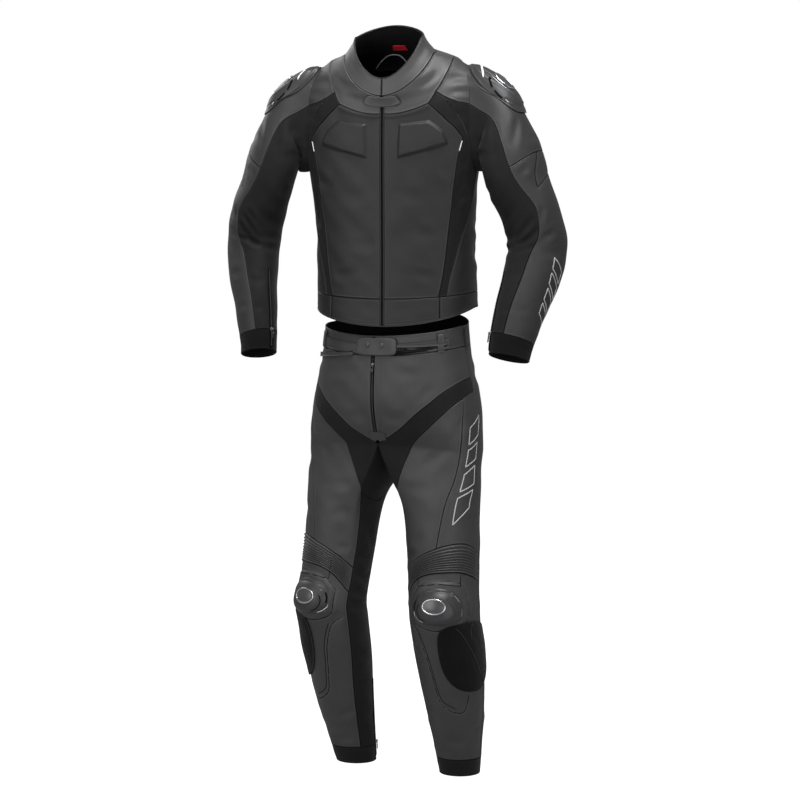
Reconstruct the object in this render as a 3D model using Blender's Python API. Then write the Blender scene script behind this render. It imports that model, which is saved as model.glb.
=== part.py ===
"""A two-piece leather race suit for a motorcyclist, jacket above trousers, filled out with no wearer.

Z is up and the front faces -Y. The origin is in the middle of the jacket's neck, where the suit is held.
Each cut piece is a region of one of four smooth surfaces: torso, collar, sleeve, and hip with leg. Its edges are seams,
which are curves on that surface, and two pieces that meet share the same points of the seam.
"""

import bpy
import numpy as np
from mathutils import Matrix

HOLD_HEIGHT = 1.60
GAP = 0.00015
LEATHER = 0.0020
STRETCH = 0.0016
ON_TOP = 0.0009
SLIDER_HIGH = 0.0016
PIN_HIGH = 0.00175
ZIP_HALF = 0.004
ZIP_WALL = 0.0014
ZIP_SUNK = 0.0008
SQUARE = 0.05
ARM_TOP, ARM_BOTTOM, ARM_MIDDLE_U, ARM_FRONT_U, ARM_BACK_U = 8.75, 5.0, 88.0, 27.0, 42.0
SLEEVE_TURN = 45.0
CROTCH_HEIGHT = 0.745
KNEE_RIBS = 8
RIB_HIGH = 0.0035
CHEST_PAD_HIGH = 0.005
WELD = 1.37e-6
TROUSERS_TURN = -11.0
TROUSERS_SHIFT = -0.002

TORSO_RINGS = np.array([
    # level half_width front_y side_y back_y front_h side_h back_h
    [0.0, .1905, -.126, -.003, .120, 1.065, 1.107, 1.115],
    [1.0, .1900, -.125, -.006, .119, 1.124, 1.140, 1.145],
    [2.0, .1885, -.124, -.012, .115, 1.190, 1.200, 1.200],
    [3.0, .1885, -.124, -.018, .110, 1.270, 1.275, 1.275],
    [4.0, .1930, -.125, -.028, .103, 1.350, 1.350, 1.355],
    [5.0, .2010, -.126, -.038, .095, 1.425, 1.420, 1.430],
    [6.0, .2090, -.126, -.036, .088, 1.480, 1.495, 1.510],
    [7.0, .2130, -.125, -.030, .078, 1.520, 1.570, 1.585],
    [8.0, .2020, -.124, -.026, .064, 1.545, 1.632, 1.648],
    [9.0, .1600, -.124, -.030, .040, 1.567, 1.672, 1.695],
    [10.0, .1070, -.130, -.062, .010, 1.590, 1.690, 1.718],
])
COLLAR_RINGS = np.array([
    # level half_width front_y side_y back_y front_h side_h back_h
    [0.0, .1070, -.130, -.062, .010, 1.590, 1.690, 1.718],
    [0.5, .0900, -.128, -.066, -.004, 1.610, 1.710, 1.738],
    [1.0, .0810, -.126, -.070, -.014, 1.630, 1.727, 1.756],
])
SLEEVE_RINGS = np.array([
    # station x y h long_radius short_radius
    [0.0, .205, -.035, 1.545, .110, .072],
    [1.0, .257, -.045, 1.526, .100, .066],
    [2.0, .284, -.052, 1.470, .087, .060],
    [3.0, .301, -.055, 1.400, .077, .057],
    [4.0, .329, -.045, 1.325, .069, .062],
    [5.0, .344, -.038, 1.250, .073, .060],
    [6.0, .336, -.062, 1.175, .068, .054],
    [7.0, .318, -.094, 1.100, .060, .047],
    [8.0, .304, -.118, 1.025, .052, .041],
    [8.4, .301, -.126, 0.997, .049, .040],
])
PELVIS_RINGS = np.array([
    # level half_width front_y side_y back_y front_h side_h back_h
    [0.0, .1760, -.115, -.002, .110, 1.041, 1.064, 1.095],
    [1.0, .1830, -.121, -.002, .117, .975, .992, 1.010],
    [2.0, .2060, -.124, -.002, .128, .890, .890, .900],
    [3.0, .2150, -.112, -.012, .132, .832, .820, .845],
    [4.0, .2180, -.095, -.018, .125, .792, .765, .805],
])
LEG_RINGS = np.array([
    # station x y h side_radius front_radius back_radius
    [0.0, .112, -.008, .745, .107, .105, .115],
    [1.0, .122, -.014, .690, .097, .098, .100],
    [2.0, .131, -.020, .644, .0885, .092, .090],
    [3.0, .137, -.028, .550, .085, .087, .085],
    [4.0, .143, -.038, .479, .083, .084, .082],
    [5.0, .150, -.045, .409, .082, .092, .079],
    [6.0, .150, -.038, .362, .082, .088, .080],
    [7.0, .150, -.015, .268, .079, .080, .080],
    [8.0, .149, .008, .174, .070, .070, .071],
    [9.0, .145, .033, .080, .058, .058, .059],
    [10.0, .140, .053, .000, .048, .048, .049],
])

# Seams: index of a point along the seam, then where it lies on its surface.
FRONT_EDGE = np.array([[0, 40, 1.05], [1, 43, 1.6], [3, 47.5, 2.7], [5, 50.5, 3.75], [7, 52, 4.7], [8, 53.3, 5.5], [9, 56, 6.1]])
CHEST_SEAM = np.array([[0, 56, 6.1], [1, 48.5, 6.5], [2, 41, 6.95], [3, 35, 7.6], [4, 31.5, 8.27]])
YOKE_FRONT = np.array([[0, 1.2, 8.17], [2, 10, 8.12], [5, 31.5, 8.27]])
YOKE_CORNER = np.array([[0, 31.5, 8.27], [1, 42, 8.75]])
SHOULDER_FRONT = np.array([[0, 42, 8.75], [1, 44.5, 8.15], [2, 51, 7.65], [3, 61.7, 7.3]])
YOKE_SIDE = np.array([[0, 42, 8.75], [2, 60, 9.1], [5, 108, 9.32], [7, 138, 9.15]])
YOKE_BACK = np.array([[0, 138, 9.15], [2, 158, 9.0], [4, 180, 8.95]])
SHOULDER_BACK = np.array([[0, 138, 9.15], [3, 124.4, 7.81]])
SIDE_REAR = np.array([[0, 46, 1.05], [1, 49, 1.65], [3, 60, 2.75], [5, 74, 3.65], [7, 88, 5.0]])
SLEEVE_FRONT = np.array([
    [0, 76.9, 0.0], [2, 85, 1.0], [4, 84, 1.9], [6, 78, 2.66], [7, 70, 3.25], [8, 61, 3.9], [9, 66, 4.5],
    [11, 85, 5.6], [13, 94, 6.7], [15, 98, 7.8],
])
SLEEVE_BACK = np.array([[0, 240, 0.0], [6, 240, 2.4], [9, 240, 4.2], [15, 240, 7.8]])
SLEEVE_SEAM = np.array([[0, -120, 2.4], [4, -50, 2.35], [7, 20, 2.38], [10, 78, 2.66]])
FLY_SIDE = np.array([[0, -3.32], [4, 0.0]])
GROIN_UPPER = np.array([
    [0, 90, -2.55], [1, 68, -2.5], [2, 46, -2.4], [4, 14, -2.0], [5, -2, -1.6], [6, -18, -1.0], [7, -33, -.4], [8, -43, 0],
])
GROIN_LOWER = np.array([
    [0, 90, -2.25], [1, 75, -2.2], [2, 59, -2.1], [3, 40, -1.9], [5, 9, -1.05], [6, -3, -.5], [7, -17, .4], [8, -34, 1.2],
    [9, -48, 1.75],
])
INNER_TOP = np.array([[0, -48, 1.75], [2, -80, 1.95], [5, -120, 1.65]])
THIGH_SEAM = np.array([[0, 59, -2.1], [2, 48, -.5], [4, 38, .9], [6, 24, 2.25], [7, 16, 2.92]])
INNER_FRONT = np.array([[0, -48, 1.75], [1, -55, 2.3], [3, -56, 3.8], [5, -56, 4.6], [9, -54, 6.6], [11, -51, 7.6], [14, -49, 9.45]])
INNER_BACK = np.array([[0, -120, 1.65], [3, -120, 3.8], [5, -120, 4.6], [14, -115, 9.45]])
KNEE_TOP = np.array([[0, -56, 3.8], [1, -30, 3.38], [3, 16, 2.92], [4, 38, 2.83], [5, 60, 2.82], [7, 100, 3.12]])
KNEE_BOTTOM = np.array([[0, -56, 4.6], [2, -16, 3.88], [4, 24, 3.66], [5, 50, 3.66], [7, 100, 4.04]])
SHIN_SIDE = np.array([[0, 100, 4.04], [9, 95, 9.45]])

# Pieces laid on a panel, as ovals of its surface. A higher squareness gives fuller corners.
ON_SLEEVE_AND_LEG = [
    # piece, surface, middle, half size, cells, squareness, slot, thick, clear, crown, soft rim
    ("shoulder_guard", "sleeve", (0, .80), (52, .66), 8, 2.6, "guard_plastic", .003, .0014, .007, .5),
    ("knee_guard", "trousers", (16, 4.88), (44, .76), 8, 2.1, "guard_plastic", .003, .0017, .009, .55),
    ("slider_patch", "trousers", (64, 6.50), (52, 1.02), 8, 2.4, "slider_rubber", .0025, .0015, .001, .4),
]
ON_WAIST = [
    # piece, middle, half size, cells, squareness, slot, thick, clear, crown, soft rim
    ("belt_tab", (3.2, .37), (16.5, .32), 6, 6.0, "leather", .0020, .0036, .0006, .4),
    ("snap_1", (-4.2, .32), (1.55, .055), 4, 2.0, "metal", .0008, .0071, .0012, .5),
    ("snap_2", (7.6, .32), (1.55, .055), 4, 2.0, "metal", .0008, .0071, .0012, .5),
]
CLOSED_ZIPS = [
    # zip, pull, surface, angle, start, end, slider at, clear
    ("cuff_zip", "cuff_pull", "sleeve", 148.0, 6.1, 8.3, 7.8, .0009),
    ("leg_zip", "leg_pull", "trousers", 252.0, 7.6, 9.85, 9.35, .0004),
]
PULL_LONG, FLY_PULL_LONG = 0.022, 0.017
FLY_SLIDER_LEVEL = 1.0


def through(rows, at):
    """Smooth curve through the rows of a table whose first column is its parameter: p(t) is a cubic from row to row."""
    p, q = rows[:, 0], rows[:, 1:]
    slope = np.gradient(q, p, axis=0)
    at = np.clip(np.asarray(at, float), p[0], p[-1])
    i = np.clip(np.searchsorted(p, at, side="right") - 1, 0, len(p) - 2)
    step = (p[i + 1] - p[i])[..., None]
    t = (at - p[i])[..., None] / step
    return (
        q[i] * (1 + 2 * t) * (1 - t) ** 2
        + slope[i] * step * t * (1 - t) ** 2
        + q[i + 1] * t * t * (3 - 2 * t)
        + slope[i + 1] * step * t * t * (t - 1)
    )


def unit(v):
    return v / np.maximum(np.linalg.norm(v, axis=-1, keepdims=True), 1e-12)


def ring_point(rows, u, level):
    """Point at angle u (0 front, 90 left side, 180 back) of an oval ring whose front, side and back have their own heights."""
    u, level = np.broadcast_arrays(np.asarray(u, float), np.asarray(level, float))
    width, front, side, back, front_h, side_h, back_h = np.moveaxis(through(rows, level), -1, 0)
    s, c = np.sin(np.radians(u)), np.cos(np.radians(u))
    square = 1 + SQUARE * np.sin(np.radians(2 * u)) ** 2
    y = side - np.where(c > 0, side - front, back - side) * c * square
    h = side_h + (front_h - side_h) * np.clip(c, 0, 1) ** 1.6 + (back_h - side_h) * np.clip(-c, 0, 1) ** 1.6
    return np.stack([width * s * square, y, h], -1)


def torso(u, level):
    return ring_point(TORSO_RINGS, u, level)


def collar(u, level):
    return ring_point(COLLAR_RINGS, u, level)


def armhole(tau):
    """Where the armhole lies on the torso at tau (0 top, 90 front, 180 bottom, 270 back)."""
    c, s = np.cos(np.radians(tau)), np.sin(np.radians(tau))
    reach = np.where(s > 0, ARM_FRONT_U, ARM_BACK_U)
    return np.stack([ARM_MIDDLE_U - reach * s, (ARM_TOP + ARM_BOTTOM) / 2 + (ARM_TOP - ARM_BOTTOM) / 2 * c], -1)


def sleeve_ring(t, station):
    """Oval ring across the arm, its long axis turned SLEEVE_TURN from the outer side towards the back."""
    row = through(SLEEVE_RINGS, station)
    ahead = through(SLEEVE_RINGS, np.clip(station + 0.3, 0, 8.4))[..., :3]
    behind = through(SLEEVE_RINGS, np.clip(station - 0.3, 0, 8.4))[..., :3]
    along = unit(ahead - behind)
    front = np.array([0.0, -1.0, 0.0])
    front = unit(front - (along @ front)[..., None] * along)
    out = np.cross(front, along)
    turn = np.radians(SLEEVE_TURN)
    a = np.radians(t) + turn
    long_axis, short_axis = row[..., 3], row[..., 4]
    o = long_axis * np.cos(a) * np.cos(turn) + short_axis * np.sin(a) * np.sin(turn)
    f = -long_axis * np.cos(a) * np.sin(turn) + short_axis * np.sin(a) * np.cos(turn)
    return row[..., :3] + out * o[..., None] + front * f[..., None]


def sleeve(t, station):
    """Sleeve at angle t (0 outer side, 90 front): it starts on the armhole and turns into plain ovals by station 3."""
    t, station = np.broadcast_arrays(np.asarray(t, float), np.asarray(station, float))
    hole = armhole(t)
    root = torso(hole[..., 0], hole[..., 1]) - sleeve_ring(t, 0 * station)
    left = np.clip(1 - station / 3, 0, 1)[..., None]
    return sleeve_ring(t, station) + root * left**2 * (3 - 2 * left)


def pelvis(t, level):
    return ring_point(PELVIS_RINGS, (np.asarray(t, float) + 45) / 1.5, level)


def leg_ring(t, station):
    x, y, h, side, front, back = np.moveaxis(through(LEG_RINGS, station), -1, 0)
    s, c = np.sin(np.radians(t)), np.cos(np.radians(t))
    return np.stack([x + side * s, y - np.where(c > 0, front, back) * c, h + 0 * x], -1)


def leg_top(t):
    """Top ring of a leg: the lowest ring of the hip on the outside, the crotch seam under the body on the inside."""
    turn = np.mod(t + 45, 360) - 45
    outer = pelvis(np.clip(turn, -45, 225), 4.0)
    k = np.clip((turn - 225) / 90, 0, 1)
    back, front = pelvis(225.0, 4.0), pelvis(-45.0, 4.0)
    edge = back[2] + (front[2] - back[2]) * k
    h = CROTCH_HEIGHT + (edge - CROTCH_HEIGHT) * np.abs(2 * k - 1) ** 2.2
    inner = np.stack([0 * k, back[1] + (front[1] - back[1]) * k, h], -1)
    return np.where((turn > 225)[..., None], inner, outer)


def trousers(t, w):
    """Hip above w = 0, from the waist at w = -4, and a leg below it. t is 0 at the leg's front, 90 on its outer side."""
    t, w = np.broadcast_arrays(np.asarray(t, float), np.asarray(w, float))
    station = np.clip(w, 0, 10)
    left = np.clip(1 - station / 3, 0, 1)[..., None]
    leg = leg_ring(t, station) + (leg_top(t) - leg_ring(t, 0 * station)) * left**2 * (3 - 2 * left)
    return np.where((w < 0)[..., None], pelvis(t, np.clip(w + 4, 0, 4)), leg)


def hung(p):
    return p - np.array([0, 0, HOLD_HEIGHT])


def turned(p):
    a = np.radians(TROUSERS_TURN)
    x = p[..., 0] * np.cos(a) - p[..., 1] * np.sin(a) + TROUSERS_SHIFT
    y = p[..., 0] * np.sin(a) + p[..., 1] * np.cos(a)
    return np.stack([x, y, p[..., 2] - HOLD_HEIGHT], -1)


def zip_angle(rows, level):
    """Angle at which a ring lies ZIP_HALF from the middle, where the teeth show between two edges."""
    return np.degrees(np.arcsin(ZIP_HALF / through(rows, level)[..., 0]))


def seam(rows, first=None, last=None):
    """Points of a seam, one at each whole index, from first to last."""
    first, last = (rows[0, 0] if first is None else first), (rows[-1, 0] if last is None else last)
    return through(rows, np.linspace(first, last, int(abs(last - first)) + 1))


def line(u0, v0, u1, v1, n):
    return np.linspace([u0, v0], [u1, v1], n + 1)


def arm(t0, t1, n):
    return armhole(np.linspace(t0, t1, n + 1))


def cuff_line(t0, t1, station, n):
    return line(t0, station, t1, station, n)


def chain(*curves):
    return np.concatenate([curves[0]] + [c[1:] for c in curves[1:]])


def fill(left, right, bottom, top):
    """Grid between four edges, (left and right upwards, bottom and top to the right): the blend of opposite edges."""
    a = np.linspace(0, 1, len(bottom))[:, None, None]
    b = np.linspace(0, 1, len(left))[None, :, None]
    ruled = (1 - a) * left[None] + a * right[None] + (1 - b) * bottom[:, None] + b * top[:, None]
    corners = (1 - a) * (1 - b) * left[0] + a * (1 - b) * right[0] + (1 - a) * b * left[-1] + a * b * right[-1]
    return ruled - corners


def zip_line(rows, level0, level1, n):
    level = np.linspace(level0, level1, n + 1)
    return np.stack([zip_angle(rows, level), level], -1)


def fly_line(level0, level1, n):
    level = np.linspace(level0, level1, n + 1)
    return np.stack([1.5 * zip_angle(PELVIS_RINGS, level) - 45, level - 4], -1)


# ---------------------------------------------------------------- the cut pieces, as grids on their surfaces
def torso_pieces():
    """Left half of the jacket's body: name -> grid of (angle, level)."""
    hem_front = line(1.2, 1.05, 40, 1.05, 9)
    hem_front[0, 0] = zip_angle(TORSO_RINGS, 1.05)
    hem_side = line(40, 1.05, 46, 1.05, 4)
    yoke_front = seam(YOKE_FRONT)
    yoke_front[0, 0] = zip_angle(TORSO_RINGS, 8.17)
    yoke_outer = chain(yoke_front, seam(YOKE_CORNER), seam(YOKE_SIDE), seam(YOKE_BACK))
    neck = through(np.array([[0, 3, 10], [5, 33, 10], [6, 41, 10], [13, 136, 10], [17, 180, 10]]), np.arange(18))
    neck[0, 0] = zip_angle(TORSO_RINGS, 10.0)
    shoulder_front, shoulder_back = seam(SHOULDER_FRONT), seam(SHOULDER_BACK)
    shoulder_front[-1], shoulder_back[-1] = armhole(76.9), armhole(300)
    waist = line(*seam(FRONT_EDGE)[7], 88, 5.0, 4)
    blades = line(*armhole(220), 180, 6.0, 7)
    hem_back = line(46, 1.05, 180, 1.05, 9)
    collar_line = np.concatenate([[[0.4, 10]], neck])
    hem_top = chain(hem_front, hem_side, hem_back)
    hem_bottom = hem_top * [1, 0]
    hem_bottom[0, 0] = zip_angle(TORSO_RINGS, 0.0)
    return {
        "front": [fill(zip_line(TORSO_RINGS, 1.05, 8.17, 9), seam(FRONT_EDGE), hem_front, chain(yoke_front, seam(CHEST_SEAM)[::-1]))],
        "side_stretch": [
            fill(seam(FRONT_EDGE)[:8], seam(SIDE_REAR), hem_side, waist),
            fill(chain(seam(FRONT_EDGE)[7:], seam(CHEST_SEAM)), arm(180, 76.9, 6), waist, chain(seam(YOKE_CORNER), shoulder_front)),
        ],
        "shoulder": [fill(seam(YOKE_SIDE), chain(arm(76.9, 0, 4), arm(0, -60, 3)), shoulder_front, shoulder_back)],
        "back": [
            fill(seam(SIDE_REAR), line(180, 1.05, 180, 6, 7), hem_back, chain(arm(180, 220, 2), blades)),
            fill(arm(220, 300, 4), line(180, 6, 180, 8.95, 4), blades, chain(shoulder_back[::-1], seam(YOKE_BACK))),
        ],
        "yoke": [fill(zip_line(TORSO_RINGS, 8.17, 10, 3), line(180, 8.95, 180, 10, 3), yoke_outer, neck)],
        "hem": [fill(zip_line(TORSO_RINGS, 0, 1.05, 2), line(180, 0, 180, 1.05, 2), hem_bottom, hem_top)],
        "collar": [fill(line(0.4, 0, 0.4, 1, 2), line(180, 0, 180, 1, 2), collar_line * [1, 0], collar_line * [1, 0] + [0, 1])],
    }


def sleeve_pieces():
    front, back = seam(SLEEVE_FRONT), seam(SLEEVE_BACK)
    outer_back = back - [360, 0]
    root = np.concatenate([np.linspace(-120, -60, 4), np.linspace(-60, 0, 4)[1:], np.linspace(0, 76.9, 5)[1:]])
    under = np.concatenate([np.linspace(76.9, 180, 7), np.linspace(180, 240, 4)[1:]])
    end_outer = cuff_line(-120, 98, 7.8, 10)
    end_inner = cuff_line(98, 240, 7.8, 9)
    return {
        "sleeve_upper": [fill(outer_back[:7], front[:7], np.stack([root, 0 * root], -1), seam(SLEEVE_SEAM))],
        "sleeve_lower": [fill(outer_back[6:], front[6:], seam(SLEEVE_SEAM), end_outer)],
        "sleeve_inner": [fill(front, back, np.stack([under, 0 * under], -1), end_inner)],
        "cuff": [fill(line(-120, 7.8, -120, 8.4, 2), line(240, 7.8, 240, 8.4, 2), chain(end_outer, end_inner),
                      chain(end_outer, end_inner) * [1, 0] + [0, 8.4])],
    }


def trousers_pieces():
    """Left half of the trousers. Each grid runs from its front or inner edge outwards, and downwards."""
    band_front = line(-45, -3.32, 90, -3.32, 8)
    band_front[0] = fly_line(0.68, 0.68, 0)[0]
    band_back = line(90, -3.32, 225, -3.32, 10)
    upper, lower = seam(GROIN_UPPER), seam(GROIN_LOWER)
    upper[-1] = fly_line(4.0, 4.0, 0)[0]
    hip_side = line(90, -3.32, 90, -2.55, 4)
    hip_end = line(90, -2.55, 90, -2.25, 2)
    crotch = line(-45, 0, -135, 0, 5)
    inner_front, inner_back = seam(INNER_FRONT), seam(INNER_BACK)
    crotch_end = line(-135, 0, -120, 1.65, 2)
    knee_top, knee_bottom = seam(KNEE_TOP), seam(KNEE_BOTTOM)
    knee_side = line(100, 3.12, 100, 4.04, 2)
    ribbed_side = line(100, 3.12, 100, 4.04, 2 * KNEE_RIBS)
    shin_end = line(-49, 9.45, 95, 9.45, 7)
    seat = chain(line(225, -3.32, 225, 0, 10), crotch_end + [360, 0], inner_back[:4] + [360, 0])
    knee_back = line(100, 3.12, 240, 3.8, 6)
    end_back = line(95, 9.45, 245, 9.45, 6)
    end_inner = line(-115, 9.45, -49, 9.45, 5)
    end_ring = chain(end_inner, shin_end, end_back)
    band = chain(band_front, band_back)
    band_top = band * [1, 0] + [0, -4]
    band_top[0] = fly_line(0.0, 0.0, 0)[0]
    knee_inner = chain(line(*inner_front[3], *inner_front[4], KNEE_RIBS), line(*inner_front[4], *inner_front[5], KNEE_RIBS))
    return {
        "hip_front": [fill(fly_line(0.68, 4.0, 4), hip_side, band_front, upper[::-1])],
        "groin": [fill(chain(upper, [upper[-1], [-45, 0]], crotch), chain(lower, seam(INNER_TOP)), hip_end, crotch_end)],
        "thigh_front": [fill(chain(lower[5:], inner_front[:4]), seam(THIGH_SEAM), lower[2:6][::-1], knee_top[:4])],
        "knee_stretch": [fill(knee_inner, ribbed_side, knee_top, knee_bottom)],
        "shin": [fill(inner_front[5:], seam(SHIN_SIDE), knee_bottom, shin_end)],
        "inner_leg": [fill(inner_back, inner_front, seam(INNER_TOP)[::-1], end_inner)],
        "back_leg": [
            fill(chain(hip_side, hip_end, lower[:3], seam(THIGH_SEAM)), seat, band_back, chain(knee_top[3:], knee_back)),
            fill(chain(knee_side, seam(SHIN_SIDE)), inner_back[3:] + [360, 0], knee_back, end_back),
        ],
        "leg_cuff": [fill(line(-115, 9.45, -115, 10, 2), line(245, 9.45, 245, 10, 2), end_ring, end_ring * [1, 0] + [0, 10])],
        "waistband": [fill(fly_line(0.0, 0.68, 2), line(225, -4, 225, -3.32, 2), band_top, band)],
    }


# ---------------------------------------------------------------- from grids to solids
MATERIALS = {
    # slot: (base colour, roughness, metallic)
    "leather": ((.035, .036, .038), .5, 0.0),
    "satin_leather": ((.085, .087, .092), .42, 0.0),
    "stretch_fabric": ((.012, .012, .013), .9, 0.0),
    "guard_plastic": ((.02, .02, .022), .35, 0.0),
    "slider_rubber": ((.008, .008, .008), .8, 0.0),
    "metal": ((.45, .46, .48), .3, 1.0),
    "red_label": ((.45, .02, .03), .7, 0.0),
}


def material(slot):
    found = bpy.data.materials.get(slot)
    if found:
        return found
    color, rough, metal = MATERIALS[slot]
    found = bpy.data.materials.new(slot)
    found.use_nodes = True
    shader = found.node_tree.nodes["Principled BSDF"]
    shader.inputs["Base Color"].default_value = (*color, 1)
    shader.inputs["Roughness"].default_value = rough
    shader.inputs["Metallic"].default_value = metal
    return found


def add_object(name, points, faces, slot, hidden=False):
    mesh = bpy.data.meshes.new(name)
    mesh.from_pydata(points.tolist(), [], faces.tolist())
    mesh.update()
    obj = bpy.data.objects.new(name, mesh)
    obj.data.materials.append(material(slot))
    bpy.context.scene.collection.objects.link(obj)
    if hidden:
        obj.hide_render = True
        obj.display_type = "WIRE"
    return obj


def quads(grid, points):
    """Each cell of an index grid as two triangles, split along its shorter diagonal."""
    a, b, c, d = grid[:-1, :-1].ravel(), grid[1:, :-1].ravel(), grid[1:, 1:].ravel(), grid[:-1, 1:].ravel()
    short = np.linalg.norm(points[a] - points[c], axis=-1) <= np.linalg.norm(points[b] - points[d], axis=-1) + 1e-7
    first = np.where(short[:, None], np.stack([a, b, c], 1), np.stack([a, b, d], 1))
    second = np.where(short[:, None], np.stack([a, c, d], 1), np.stack([b, c, d], 1))
    return np.concatenate([first, second])


def joined(blocks, *others):
    """One mesh from grids that share edges: points, triangles, and each of the others' values at the points."""
    flat = np.concatenate([b.reshape(-1, 3) for b in blocks])
    _, first, same = np.unique(np.round(flat / WELD).astype(np.int64), axis=0, return_index=True, return_inverse=True)
    same, start, faces = same.ravel(), 0, []
    for b in blocks:
        size = b.shape[0] * b.shape[1]
        faces.append(quads(same[start : start + size].reshape(b.shape[:2]), flat[first]))
        start += size
    values = [np.concatenate([o.reshape(len(o.reshape(-1, o.shape[-1])), -1) for o in other])[first] for other in others]
    return flat[first], np.concatenate(faces), *values


def open_edges(faces):
    """Directed edges that only one triangle has."""
    edges = np.concatenate([faces[:, [0, 1]], faces[:, [1, 2]], faces[:, [2, 0]]])
    size = faces.max() + 1
    code, back = edges[:, 0] * size + edges[:, 1], edges[:, 1] * size + edges[:, 0]
    return edges[~np.isin(code, back)]


def drawn_in(points, faces, normals, gap):
    """Moves the edge of a mesh inwards along its surface by gap, so that two pieces that share a seam stand twice gap apart."""
    edges = open_edges(faces)
    along = points[edges[:, 1]] - points[edges[:, 0]]
    after, before = np.zeros_like(points), np.zeros_like(points)
    after[edges[:, 0]] = unit(np.cross(normals[edges[:, 0]], along))
    before[edges[:, 1]] = unit(np.cross(normals[edges[:, 1]], along))
    share = 1 + np.sum(after * before, -1, keepdims=True)
    return points + gap * (after + before) / np.maximum(share, 0.3)


def shell(name, blocks, normals, slot, wall, raised=None, sunk=0.0, gap=GAP):
    """A closed solid: the blocks moved out by raised are its outer face, and moved in by wall its inner one."""
    if raised is None:
        raised = [np.zeros(b.shape[:2] + (1,)) for b in blocks]
    points, faces, normal, lift = joined(blocks, normals, raised)
    points = drawn_in(points, faces, normal, gap)
    edges, n = open_edges(faces), len(points)
    walls = np.concatenate([np.stack([edges[:, 0], edges[:, 0] + n, edges[:, 1]], 1),
                            np.stack([edges[:, 1], edges[:, 0] + n, edges[:, 1] + n], 1)])
    both_sides = np.concatenate([points + normal * (lift - sunk), points - normal * (wall + sunk)])
    return add_object(name, both_sides, np.concatenate([faces, faces[:, ::-1] + n, walls]), slot)


def smooth(x, low, high):
    t = np.clip((x - low) / (high - low), 0, 1)
    return t * t * (3 - 2 * t)


def straight(grid, every):
    """Makes a grid's two side edges straight between each every-th point, as the coarser neighbour's are."""
    out = grid.copy()
    for side in (0, -1):
        knots = grid[side, ::every]
        k = np.arange(grid.shape[1]) / every
        i = np.minimum(k.astype(int), len(knots) - 2)
        out[side] = knots[i] + (knots[i + 1] - knots[i]) * (k - i)[:, None]
    return out


def mirrored(grid):
    return (grid * [-1, 1, 1])[::-1]


def both(blocks):
    """Blocks of the left half, with their mirror images."""
    return blocks + [mirrored(b) for b in blocks]


def surface_normals(grids):
    """Normals of all blocks, with the points that lie in one place sharing one normal."""
    blocks = [b for piece in grids.values() for b in piece]
    flat = np.concatenate([b.reshape(-1, 3) for b in blocks])
    _, same = np.unique(np.round(flat / WELD).astype(np.int64), axis=0, return_inverse=True)
    same, start = same.ravel(), 0
    total = np.zeros((same.max() + 1, 3))
    for b in blocks:
        across = np.cross(b[1:, 1:] - b[:-1, :-1], b[:-1, 1:] - b[1:, :-1]).reshape(-1, 3)
        index = same[start : start + b.shape[0] * b.shape[1]].reshape(b.shape[:2])
        for corner in (index[:-1, :-1], index[1:, :-1], index[1:, 1:], index[:-1, 1:]):
            np.add.at(total, corner.ravel(), across)
        start += b.shape[0] * b.shape[1]
    normal, out, start = unit(total)[same], {}, 0
    for name, piece in grids.items():
        out[name] = []
        for b in piece:
            size = b.shape[0] * b.shape[1]
            out[name].append(normal[start : start + size].reshape(b.shape))
            start += size
    return out


def raw(surface, uv):
    """Points and outward normals of a surface at uv, in its garment's own frame."""
    at = lambda du, dv: surface(uv[..., 0] + du, uv[..., 1] + dv)
    du, dv = at(0.5, 0) - at(-0.5, 0), at(0, 0.03) - at(0, -0.03)
    return at(0, 0), unit(np.cross(dv, du) if surface is trousers else np.cross(du, dv))


def disc(n, power=2.0):
    """Grid of points in the unit disc, or in a rounder square for a larger power, with 0 at the middle and 1 at the rim."""
    x, y = np.meshgrid(np.linspace(-1, 1, n + 1), np.linspace(-1, 1, n + 1), indexing="ij")
    square = np.maximum(np.abs(x), np.abs(y))
    length = (np.abs(x) ** power + np.abs(y) ** power) ** (1 / power)
    k = np.where(square > 0, square / np.maximum(length, 1e-9), 0)
    return x * k, y * k, square


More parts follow.
